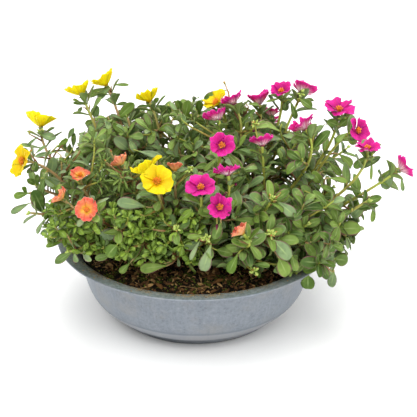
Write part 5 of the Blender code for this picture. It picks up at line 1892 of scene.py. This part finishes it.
def twig_to(end, facing, samples, thick, reach=FARTHEST_HOST):
    """A short side shoot from the nearest stem to an end, or None if no stem is near."""
    places, owners = samples
    goal = np.array(end[:])
    ahead = (places - goal) @ np.array(facing[:])
    apart = np.linalg.norm(places - goal, axis=1)
    apart += ABOVE_COST * np.maximum(places[:, 2] - goal[2] + ABOVE_FROM, 0.0)
    apart += AHEAD_COST * np.maximum(ahead, 0.0)
    best = int(np.argmin(apart))
    if np.linalg.norm(places[best] - goal) > reach:
        return None
    host, way = owners[best]
    way = max(way - LEAVE_LOWER * (end - host.frame(way)[0]).length, LOWEST_TWIG)
    start, tangent, _, _ = host.frame(way)
    span = (end - start).length
    away = square_to(end - start, tangent)
    second = start + (tangent + away).normalized() * (TWIG_HANDLE * span)
    third = end - facing * (TWIG_END_HANDLE * span)
    hint = square_to(TWIG_HINT, (second - start).normalized())
    axis = Axis(host.stem, "", (start, second, third, end), thick, hint)
    axis.thin = TWIG_THIN * thick
    return axis


def face_up(normal):
    """A leaf's normal, turned over if it looks too far down."""
    return -normal if normal.dot(UP) < FACE_DOWN else normal


def leaf_probes(root, middle, tip):
    """The places that stand for a leaf where others have to keep clear of it."""
    return (root.lerp(middle, PROBE_SHARE), middle, tip)


def leaf_points(root, direction, normal, length, droop):
    """Middle and tip of a leaf that leaves its root one way and bends down or back."""
    middle = root + direction * (LEAF_WIDEST * length) - normal * (MIDRIB_SAG * length)
    fallen = (direction - normal * droop - UP * (TIP_SAG * droop)).normalized()
    return middle, middle + fallen * ((1.0 - LEAF_WIDEST) * length)


def grow_leaf(batch, canopy, axis, way, turn, climb, length, kind, rng, material, spread):
    """One leaf at a distance and turn on an axis, in the first roomy one of a few ways, or none."""
    point, tangent, side, over = axis.frame(way)
    for attempt in range(LEAF_TRIES):
        around = turn + rng.uniform(-TURN_SWING, TURN_SWING) * (1 + attempt * TRY_SWING)
        rise = climb + rng.uniform(-CLIMB_SWING, CLIMB_SWING)
        outward = side * math.cos(around) + over * math.sin(around)
        direction = (outward * math.cos(rise) + tangent * math.sin(rise) + UP * LEAF_LIFT).normalized()
        across = square_to(tangent.cross(outward), direction)
        normal = direction.cross(across)
        if normal.dot(tangent) < 0.0:
            normal = -normal
        normal = face_up(normal)
        size = length * (1.0 - TRY_SHRINK * attempt)
        root = point + outward * (LEAF_FOOT * axis.radius(way))
        middle, tip = leaf_points(root, direction, normal, size, rng.uniform(*TIP_DROOPS))
        probes = leaf_probes(root, middle, tip)
        if canopy.room(probes) > spread:
            width = size * rng.uniform(*kind.widths)
            raise_leaf(batch, (root, middle, tip), normal, width, kind.form, kind.thickness,
                       rng.uniform(*kind.tones), rng, material)
            canopy.take(probes)
            return


def axis_stations(start, end, thick, thin, joints=()):
    """Distances and radii of a fine stem, swollen a little where leaves sit."""
    ways = list(np.arange(start, end - 2 * MM, STEM_RINGS)) + [end]
    stations = []
    for way in ways:
        radius = thick + (thin - thick) * (way - start) / (end - start)
        near = min((abs(way - j) for j in joints), default=1.0)
        if near < 0.5 * STEM_RINGS:
            radius *= SWELL
        stations.append((way, radius))
    return stations


def raise_twig(batch, twig, radii, rng, material):
    """The skin of a side shoot, from its foot to its end."""
    thick, thin = radii
    stations = axis_stations(0.0, twig.length, thick * MM, thin * MM)
    raise_tube(batch, twig, stations, material, TWIG_SIDES, rng.random())


def rosette(batch, canopy, axis, kind, rng, material, drop, count, spread):
    """Leaves spread round the end of a stem, the young upright ones innermost."""
    shortest, longest = kind.lengths
    turn = rng.uniform(*ANY_TURN)
    for i in range(count):
        share = i / max(count - 1, 1)
        way = axis.length - drop * MM - share * (SMALL_ROSETTE if kind.form is SMALL else ROSETTE) * MM
        climb = math.radians(TOP_CLIMB - CLIMB_DROP * share)
        grown = YOUNG_LENGTH + (1.0 - YOUNG_LENGTH) * share
        length = (shortest + (longest - shortest) * grown) * MM * rng.uniform(*ROSETTE_SIZES)
        grow_leaf(batch, canopy, axis, way, turn + SPIRAL * i, climb, length, kind, rng, material, spread)


def stem_leaves(batch, canopy, axis, kind, rng, material, lowest, highest, spread):
    """Leaves spiralling up a stem between two distances."""
    count = int((highest - lowest) / (10 * MM) * kind.density)
    for i in range(count):
        way = lowest + (highest - lowest) * (i + rng.uniform(*STEM_SHARES)) / count
        climb = math.radians(rng.uniform(*STEM_CLIMBS))
        length = rng.uniform(*kind.lengths) * MM
        grow_leaf(batch, canopy, axis, way, SPIRAL * i, climb, length, kind, rng, material, spread)


def raise_end(batch, axis, rng, leaf, bud):
    """What ends a stem of the solid model: sepals under a bloom, or a cluster of buds."""
    end, facing, side, over = axis.frame(axis.length)
    if axis.end in BLOOMS:
        start = rng.uniform(*ANY_TURN)
        for i in range(2):
            turn = start + math.pi * i
            outward = side * math.cos(turn) + over * math.sin(turn)
            direction = (outward * 0.8 + facing * 0.6).normalized()
            root = end - facing * SEPAL_DROP + outward * SEPAL_ROOT
            middle = root + direction * SEPAL_MIDDLE
            tip = root + direction * SEPAL_LENGTH - facing * SEPAL_BEND
            normal = facing * 0.8 - outward * 0.6
            sepal = KINDS["lime"]
            raise_leaf(batch, (root, middle, tip), normal, SEPAL_WIDTH, sepal.form, sepal.thickness,
                       rng.uniform(*SEPAL_TONES), rng, leaf)
    else:
        for i in range(rng.choice(BUD_NUMBERS)):
            turn = SPIRAL * i
            outward = side * math.cos(turn) + over * math.sin(turn)
            direction = (facing + outward * rng.uniform(*BUD_SPREADS)).normalized()
            raise_bud(batch, end - facing * BUD_DROP, direction, rng.uniform(*BUD_SIZES), bud,
                      rng.random() * BUD_RIPENESS)


def place_seen_leaves(batches, canopy, samples, rng, leaf, stem_skin):
    """The leaves that the photograph shows clearly, each on the nearest stem."""
    for u0, v0, u1, v1, width, depth, tone in SEEN_LEAVES:
        root = canopy.from_photo(u0, v0, depth * MM)
        tip = canopy.from_photo(u1, v1, (depth - 3) * MM)
        sight = (canopy.eye - root).normalized()
        direction = (tip - root).normalized()
        normal = square_to(sight + UP * 0.3, direction)
        twig = twig_to(root, direction, samples, FINE_TWIG)
        if twig is None:
            continue
        batch = batches[twig.stem]
        raise_twig(batch, twig, SEEN_TWIG, rng, stem_skin)
        length = (tip - root).length
        middle = root + direction * (LEAF_WIDEST * length) + normal * (rng.uniform(0.02, 0.08) * length)
        form = OVAL if width * MM > WIDE_LEAF * length else SPOON
        raise_leaf(batch, (root, middle, tip), normal, width * MM, form, SEEN_THICKNESS, tone, rng, leaf)
        canopy.take(leaf_probes(root, middle, tip))
        for along, across in SEEN_SPOTS:
            canopy.keep_in_sight(root.lerp(tip, along), across * width * MM)


def place_buds(batches, canopy, samples, rng, bud, wilted, stem_skin):
    """Seed capsules, coloured buds and spent blooms where the photograph shows them."""
    def stalk(u, v, depth, facing):
        end = canopy.from_photo(u, v, depth * MM)
        near = min(samples[0], key=lambda p: (Vector(p) - end).length)
        facing = ((end - Vector(near)).normalized() * 1.2 + facing).normalized()
        twig = twig_to(end, facing, samples, FINE_TWIG, FARTHEST_BUD_HOST)
        if twig is not None:
            raise_twig(batches[twig.stem], twig, BUD_TWIG, rng, stem_skin)
        return end, twig

    for u, v, depth, count in CAPSULES:
        facing = (UP + Vector((0.0, -0.5, 0.0))).normalized()
        end, twig = stalk(u, v, depth, facing)
        if twig is None:
            continue
        for _ in range(int(CAPSULE_NUMBER * count)):
            away = Vector((rng.uniform(-1, 1), rng.uniform(-1, 0.6), rng.uniform(-0.7, 1.0))).normalized()
            base = end + away * (rng.uniform(*CAPSULE_SPREADS) * MM * math.sqrt(count) * 0.5)
            tone = rng.uniform(*(RED_TONES if rng.random() < RED_SHARE else GREEN_TONES))
            direction = (away + facing * 0.5).normalized()
            raise_bud(batches[twig.stem], base, direction, rng.uniform(*CAPSULE_SIZES), bud, tone)
        canopy.keep_in_sight(end, CAPSULES_SEEN)
    for row, tone in ((RED_BUDS, RED_TONE), (ORANGE_BUDS, ORANGE_TONE)):
        for u, v, depth, length in row:
            facing = Vector((rng.uniform(-0.5, 0.5), -0.4, 0.8)).normalized()
            end, twig = stalk(u, v, depth, facing)
            if twig is not None:
                raise_bud(batches[twig.stem], end, facing, length / BUD_SIZE, bud, tone)
                canopy.keep_in_sight(end + facing * (0.5 * length * MM), BUD_SEEN)
    for u, v, depth, length in SPENT_BLOOMS:
        facing = Vector((rng.uniform(-0.6, 0.6), -0.5, rng.uniform(-0.6, 0.9))).normalized()
        end, twig = stalk(u, v, depth, facing)
        if twig is not None:
            raise_ovoid(batches[twig.stem], end, facing, length * MM, sized(SPENT, MM), wilted, rng.random(),
                        6, SPENT_WOBBLE, rng)
            canopy.keep_in_sight(end, SPENT_SEEN)


def shoot_ends(canopy, tips, rng):
    """Ends of the random shoots: spread evenly within each zone, the back of the plant too."""
    ends = []
    zones = [(*zone, True) for zone in SHOOT_ZONES]
    zones.append(("spoon", *BACK_ZONE, BACK_SHOOTS, False))
    for kind, first, second, third, count, seen in zones:
        for _ in range(count):
            best = None
            for _ in range(SHOOT_TRIES):
                a, b, c = rng.uniform(*first), rng.uniform(*second), rng.uniform(*third)
                end = canopy.from_photo(a, b, c * MM) if seen else Vector((a, b, c)) * MM
                if canopy.room([end]) < 0.0:
                    continue
                room = min((end - tip).length for tip in tips)
                if best is None or room > best[0]:
                    best = (room, end)
            apart = CLOSE_SHOOTS if KINDS[kind].form is SMALL else OPEN_SHOOTS
            if best is None or best[0] < apart * MM:
                continue
            tips.append(best[1])
            ends.append((kind, best[1]))
    return ends


def dress_stems(axes, rng, eye, leaf, stem_skin, bud, wilted):
    """Every leafy stem: the solid's stems and leaves made fine, and the shoots that fill the plant."""
    canopy = Canopy(eye)
    samples = axis_samples(axes)
    batches = {stem: Batch(stem_skin, leaf, bud, wilted) for stem in STEMS}
    for axis in axes:
        batch = batches[axis.stem]
        joints = [way for way, _, _ in axis.leaves]
        neck = axis.length - CALYX_LENGTH
        stations = axis_stations(0.0, neck, axis.thick, axis.thin, joints)
        rows = BLOOM_NECK if axis.end in BLOOMS else SHOOT_NECK
        stations += [(neck + way * MM, radius * MM) for way, radius in rows]
        if axis.end in BLOOMS:
            stations.append((axis.length - NECK_TOP[0], NECK_TOP[1]))
        chance = rng.uniform(*(RIGHT_TONES if axis.points[-1].x > 0 else LEFT_TONES))
        raise_tube(batch, axis, stations, stem_skin, chance=chance)
        for way, k, sections in axis.leaves:
            root = axis.frame(way)[0] + axis.face_outward(way, k) * (0.5 * axis.radius(way))
            middle = sum(sections[0], Vector()) / 4
            tip = sum(sections[1], Vector()) / 4
            normal = face_up((sections[0][3] - sections[0][0]).normalized())
            width = (sections[0][1] - sections[0][0]).length
            kind = KINDS["broad"] if middle.x > BROAD_FROM else KINDS["spoon"]
            width *= OVAL_WIDER if kind.form is OVAL else 1.0
            raise_leaf(batch, (root, middle, tip), normal, width, kind.form, kind.thickness,
                       rng.uniform(*kind.tones), rng, leaf)
            canopy.take(leaf_probes(root, middle, tip))
        raise_end(batch, axis, rng, leaf, bud)
    place_seen_leaves(batches, canopy, samples, rng, leaf, stem_skin)
    place_buds(batches, canopy, samples, rng, bud, wilted, stem_skin)
    for axis in axes:
        for way in np.arange(CALYX_LENGTH, BARE_STEMS.get(axis.end, 0) * MM, BARE_STEP):
            canopy.keep_in_sight(axis.frame(axis.length - float(way))[0], BARE_WIDTH)
    tips = [a.points[-1] for a in axes]
    shoots = []
    for kind_name, end in shoot_ends(canopy, tips, rng):
        out = Vector((end.x, end.y, 0.0))
        facing = (UP * 0.9 + out.normalized() * rng.uniform(0.1, 0.9)).normalized()
        axis = twig_to(end, facing, samples, SHOOT_AXIS)
        if axis is not None:
            shoots.append((KINDS[kind_name], axis))
    for kind, axis in shoots:
        batch = batches[axis.stem]
        raise_twig(batch, axis, SHOOT_TWIG, rng, stem_skin)
        spread = (CLOSE_LEAVES if kind.form is SMALL else OPEN_LEAVES) * MM
        rosette(batch, canopy, axis, kind, rng, leaf, ROSETTE_TOP, kind.rosette, spread)
        stem_leaves(batch, canopy, axis, kind, rng, leaf, SHOOT_BARE_SHARE * axis.length,
                    axis.length - SHOOT_TOP_BARE, spread)
    for axis in axes:
        kind = KINDS["spoon" if axis.points[-1].x < BROAD_FROM else "broad"]
        lowest = (STEM_BARE if axis.host is None else BRANCH_BARE) * MM
        highest = axis.length - TOP_BARE
        if highest > lowest:
            stem_leaves(batches[axis.stem], canopy, axis, kind, rng, leaf, lowest, highest, STEM_LEAVES * MM)
    for stem, batch in batches.items():
        batch.make(f"leafy_{stem}", "foliage", stem)


# Blooms

PETAL_ROWS = (0.0, 0.14, 0.3, 0.46, 0.6, 0.73, 0.84, 0.93, 1.0)
PETAL_COLUMNS = tuple(-1.0 + i / 6.0 for i in range(13))
PETAL_BEYOND = 1.2
BELLY = 0.12
CUPPED_ANGLE = 30
PETAL_PHASES = 5
PETAL_SHEET = 0.3 * MM

# A petal's outline: its turn from its place, its notch, and its edge with a torn corner and teeth
# (each row of teeth: their range of depth, and their turn in radians from the middle to a side)
PETAL_SWING = 0.07
NOTCHES = (-0.03, 0.15)
NOTCH_WIDTH = 0.25
CORNERS = (-0.7, 0.7)
TEARS = (0.0, 0.09)
TEAR_WIDTH = 0.4
EDGE_TOP = 1.03
EDGE_FALL = 0.16
EDGE_POWERS = (1.6, 3.0)
SHORTEST = 0.97
WILD_SHORTER = 0.04
LONGEST = 1.02
TEETH = (((0.01, 0.05), 3.1), ((0.0, 0.045), 7.0), ((0.0, 0.03), 14.0))

# Its width as a share of its sector, from throat to edge
PETAL_SPREADS = (0.9, 1.04)
WIDTH_SHARES = (0.0, 0.15, 0.5, 0.8, 1.05)
WIDTHS = (0.8, 1.16, 1.3, 1.3, 1.2)

# Its relief: broad and fine waves (range of height as a share of the bloom's radius, and of turn
# in radians from the middle to a side), its tilt and curl, and the lap of a side over the next petal
SLOPE_STEP = 0.05
BROAD_WAVES = ((0.03, 0.09), (2.2, 4.4))
FINE_WAVES = ((0.01, 0.05), (7.0, 10.0))
TILTS = (-0.08, 0.07)
TILT_POWER = 1.5
CURLS = (-0.09, 0.1)
SIDE_RISE = 0.05
LAP = 0.5 * MM

# Petal looks: colours from throat to edge, of the streaks and of the back, and the back's least share; the
# backs' colours and shares are partly the petals' own paler backs and partly painted light that brightens the
# shaded undersides
PETAL_LOOKS = {
    "yellow": (((0.0, "CE820A"), (0.16, "D8AC04"), (0.45, "DCBC06"), (1.0, "DEC808")),
               "D2AC04", "F4E41C", 0.9),
    "magenta": (((0.0, "E8D8A0"), (0.1, "8E0E5C"), (0.3, "A80E6C"), (0.6, "C81884"), (1.0, "DC2E98")),
                "A00E6A", "FADCE6", 0.0),
    "coral": (((0.0, "F0C838"), (0.3, "EAAE44"), (0.52, "DA7850"), (0.8, "D65E4E"), (1.0, "D85850")),
              "F5A06C", "FFB88C", 0.7),
}

# Tufts: how many stamens, and how wide the tuft as a share of the bloom's radius
STAMENS = {"yellow": 26, "magenta": 22, "coral": 14}
TUFTS = {"yellow": 0.25, "magenta": 0.24, "coral": 0.2}
TUFT_HEIGHTS = (0.2, 0.3)
TUFT_DROP = 0.4
TUFT_RISE = 1.2 * MM
ROOT_SHARE = 0.35
ROOT_SINK = 0.4 * MM
ANTHER_DROP = 0.3 * MM
HUB = ((0.0, 0.8), (0.45, 1.0), (0.8, 0.7))
HUB_RISE = 1.3

# How ragged some blooms are, where others have 1
WILDNESS = {"yellow_1": 1.3, "yellow_2": 1.7, "yellow_3": 1.4, "yellow_4": 1.5, "yellow_5": 1.5,
            "yellow_6": 1.1, "yellow_7": 2.2, "yellow_8": 2.2, "magenta_1": 2.0, "magenta_2": 1.5,
            "magenta_3": 2.0, "magenta_4": 2.0, "magenta_5": 2.0, "magenta_6": 2.4, "magenta_7": 1.6,
            "magenta_8": 1.5, "magenta_9": 1.8, "magenta_10": 2.2, "magenta_11": 2.4, "magenta_12": 2.2,
            "magenta_13": 2.0, "magenta_14": 1.6, "magenta_15": 2.6, "magenta_16": 2.4, "coral_1": 1.8,
            "coral_2": 1.6, "coral_3": 2.2, "coral_4": 1.7, "coral_5": 1.6, "coral_6": 2.0}


def sheet_faces(rows, columns):
    """Faces of a closed double sheet whose two skins share their border."""
    def under(i, j):
        if i in (0, rows - 1) or j in (0, columns - 1):
            return i * columns + j
        return rows * columns + (i - 1) * (columns - 2) + j - 1

    faces = []
    for i in range(rows - 1):
        for j in range(columns - 1):
            a, b = i * columns + j, (i + 1) * columns + j
            faces.append((a, b, b + 1, a + 1))
            faces.append((under(i, j), under(i, j + 1), under(i + 1, j + 1), under(i + 1, j)))
    return faces


def raise_petal(batch, name, k, matrix, rng, material):
    """A broad petal on the bloom's bowl shape: notched or pointed, torn, waved and lapping over the next."""
    bloom = BLOOMS[name]
    path, length = petal_path(bloom)
    beyond = (PETAL_BEYOND - 1.0) * length
    reach, height, angle, _ = path[-1]
    shares = np.array([p[3] for p in path] + [PETAL_BEYOND])
    reaches = np.array([p[0] for p in path] + [reach + math.cos(angle) * beyond])
    heights = np.array([p[1] for p in path] + [height + math.sin(angle) * beyond])
    rows, columns = np.array(PETAL_ROWS)[:, None], np.array(PETAL_COLUMNS)[None, :]
    size = bloom[4] * MM
    wild = WILDNESS.get(name, 1.0)
    middle = FIRST_CORNER + 2.0 * math.pi * (k + 0.5) / PETALS + rng.uniform(-PETAL_SWING, PETAL_SWING) * wild
    phases = [rng.uniform(*ANY_TURN) for _ in range(PETAL_PHASES)]
    notch = rng.uniform(*NOTCHES)
    corner = rng.uniform(*CORNERS)
    edge = EDGE_TOP - EDGE_FALL * np.abs(columns) ** rng.uniform(*EDGE_POWERS)
    edge = edge - notch * np.exp(-(columns / NOTCH_WIDTH) ** 2)
    tear = np.maximum(0.0, 1.0 - np.abs(columns - corner) / TEAR_WIDTH)
    edge = edge + wild * rng.uniform(*TEARS) * tear
    edge = edge * rng.uniform(SHORTEST - WILD_SHORTER * wild, LONGEST)
    edge = edge + wild * sum(rng.uniform(*depths) * np.sin(beat * columns + phase)
                             for (depths, beat), phase in zip(TEETH, phases))
    t = rows * edge
    reach = np.interp(t, shares, reaches)
    height = np.interp(t, shares, heights)
    after, before = t + SLOPE_STEP, t - SLOPE_STEP
    slope = np.arctan2(np.interp(after, shares, heights) - np.interp(before, shares, heights),
                       np.interp(after, shares, reaches) - np.interp(before, shares, reaches))
    spread = rng.uniform(*PETAL_SPREADS)
    half = spread * math.pi / PETALS * np.interp(t, WIDTH_SHARES, WIDTHS)
    turn = middle + columns * half
    waves = 0.0
    for power, (depths, beats), phase in ((2, BROAD_WAVES, phases[3]), (3, FINE_WAVES, phases[4])):
        waves = waves + rng.uniform(*depths) * t**power * np.sin(rng.uniform(*beats) * columns + phase)
    tilt = rng.uniform(*TILTS) * wild * t**TILT_POWER
    curl = rng.uniform(*CURLS) * t**4
    lap = columns * LAP * np.minimum(1.0, 3.0 * t)
    belly = BELLY * min(1.0, bloom[6] / CUPPED_ANGLE) * np.sin(math.pi * np.minimum(t, 1.0))
    lift = size * (wild * waves + tilt - curl - belly + SIDE_RISE * columns**2 * t) + lap
    x = (reach - np.sin(slope) * lift) * np.cos(turn)
    y = (reach - np.sin(slope) * lift) * np.sin(turn)
    z = height + np.cos(slope) * lift
    top = np.stack((x, y, z), axis=2)
    down = np.gradient(top, axis=0)
    over = np.gradient(top, axis=1)
    normal = np.cross(down, over)
    normal /= np.linalg.norm(normal, axis=2)[:, :, None] + 1e-12
    if normal[4, 4, 2] < 0.0:
        normal = -normal
    low = top - normal * PETAL_SHEET
    points = np.vstack((top.reshape(-1, 3), low[1:-1, 1:-1].reshape(-1, 3)))
    points = points @ np.array(matrix.to_3x3()).T + np.array(matrix.translation[:])
    paint = np.empty((len(points), 4))
    count = top.shape[0] * top.shape[1]
    across = np.broadcast_to(columns, t.shape)
    paint[:count, 0] = t.ravel()
    paint[:count, 1] = 0.5 + 0.5 * across.ravel()
    paint[:count, 3] = 0.0
    paint[count:, 0] = t[1:-1, 1:-1].ravel()
    paint[count:, 1] = 0.5 + 0.5 * across[1:-1, 1:-1].ravel()
    paint[count:, 3] = 1.0
    paint[:, 2] = rng.random()
    batch.add(points, paint, sheet_faces(*t.shape), material)


def raise_stamens(batch, name, matrix, rng, material, petal):
    """A tuft of threads with anthers in the throat of a bloom."""
    bloom = BLOOMS[name]
    size = bloom[4] * MM
    count = STAMENS[bloom[0]]
    spread = TUFTS[bloom[0]] * size
    rotation = matrix.to_3x3()
    for i in range(count):
        reach = spread * math.sqrt((i + 0.5) / count)
        turn = SPIRAL * i + rng.uniform(-0.2, 0.2)
        outward = Vector((math.cos(turn), math.sin(turn), 0.0))
        root = outward * (ROOT_SHARE * reach) + UP * (HUB_HEIGHT - ROOT_SINK)
        height = HUB_HEIGHT + size * rng.uniform(*TUFT_HEIGHTS) + TUFT_RISE - TUFT_DROP * reach
        end = outward * reach + UP * height
        direction = (end - root).normalized()
        length = (end - root).length
        base = matrix @ root
        way = (rotation @ direction).normalized()
        raise_ovoid(batch, base, way, length, sized(THREAD, MM), material, 0.0, 4)
        top = base + way * (length - ANTHER_DROP)
        raise_ovoid(batch, top, way, ANTHER_SIZE * MM, sized(ANTHER, MM), material, rng.random(), 5)
    hub = sized(HUB, HUB_RADIUS)
    raise_ovoid(batch, matrix.translation, rotation @ UP, HUB_RISE * HUB_HEIGHT, hub, petal, 0.0, 10)


def dress_blooms(rng):
    """Every bloom: petals and stamens in one piece."""
    stamen = stamen_material()
    petals = {colour: petal_material(f"{colour}_petal", *look) for colour, look in PETAL_LOOKS.items()}
    for name, bloom in BLOOMS.items():
        batch = Batch(petals[bloom[0]], stamen)
        matrix = bloom_matrix(name)
        for k in range(PETALS):
            raise_petal(batch, name, k, matrix, rng, petals[bloom[0]])
        raise_stamens(batch, name, matrix, rng, stamen, petals[bloom[0]])
        batch.make(f"bloom_{name}", f"{bloom[0]}_petals", name)


# Camera, lights and floor

def add_camera():
    """The camera at the photograph's angle; returns where it stands."""
    data = bpy.data.cameras.new("camera")
    data.lens = LENS
    data.sensor_width = SENSOR
    data.clip_start, data.clip_end = CAMERA_RANGE
    camera = add_object("camera", data)
    back = Vector((0.0, -math.cos(CAMERA_ELEVATION), math.sin(CAMERA_ELEVATION)))
    camera.location = TARGET + back * CAMERA_DISTANCE
    camera.rotation_euler = back.to_track_quat("Z", "Y").to_euler()
    bpy.context.scene.camera = camera
    return camera.location.copy()


def add_area(name, place, size, power):
    """A soft round light aimed at the plant."""
    data = bpy.data.lights.new(name, "AREA")
    data.shape = "DISK"
    data.size = size
    data.energy = power
    light = add_object(name, data)
    light.location = place
    light.rotation_euler = (Vector(place) - TARGET).to_track_quat("Z", "Y").to_euler()


def add_studio():
    """Pale floor, soft lights and a bright surround."""
    bm = bmesh.new()
    bmesh.ops.create_grid(bm, x_segments=4, y_segments=4, size=FLOOR_SIZE)
    mesh = bpy.data.meshes.new("floor")
    bm.to_mesh(mesh)
    bm.free()
    floor = add_object("floor", mesh)
    floor.location.z = -FLOOR_DROP
    s = Surface("floor", roughness=0.9, specular=0.1)
    mesh.materials.append(s.finish(s.ramp(s.noise(0.8, 2.0), (0.3, "FAFAF9"), (0.7, "FCFCFB"))))
    world = bpy.data.worlds.new("surround")
    bpy.context.scene.world = world
    world.use_nodes = True
    background = world.node_tree.nodes["Background"]
    background.inputs["Color"].default_value = (1.0, 1.0, 1.0, 1.0)
    background.inputs["Strength"].default_value = SURROUND
    for light in LIGHTS:
        add_area(*light)
    bpy.context.scene.view_settings.view_transform = "Standard"


def main():
    """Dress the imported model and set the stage."""
    eye = add_camera()
    add_studio()
    axes = lay_stems()
    lay_leaves(axes)
    dress_bowl()
    dress_soil()
    dress_litter(random.Random(SEED + 2))
    dress_stems(axes, random.Random(SEED + 3), eye, leaf_material(), stem_material(), bud_material(),
                wilted_material())
    dress_blooms(random.Random(SEED + 4))


main()
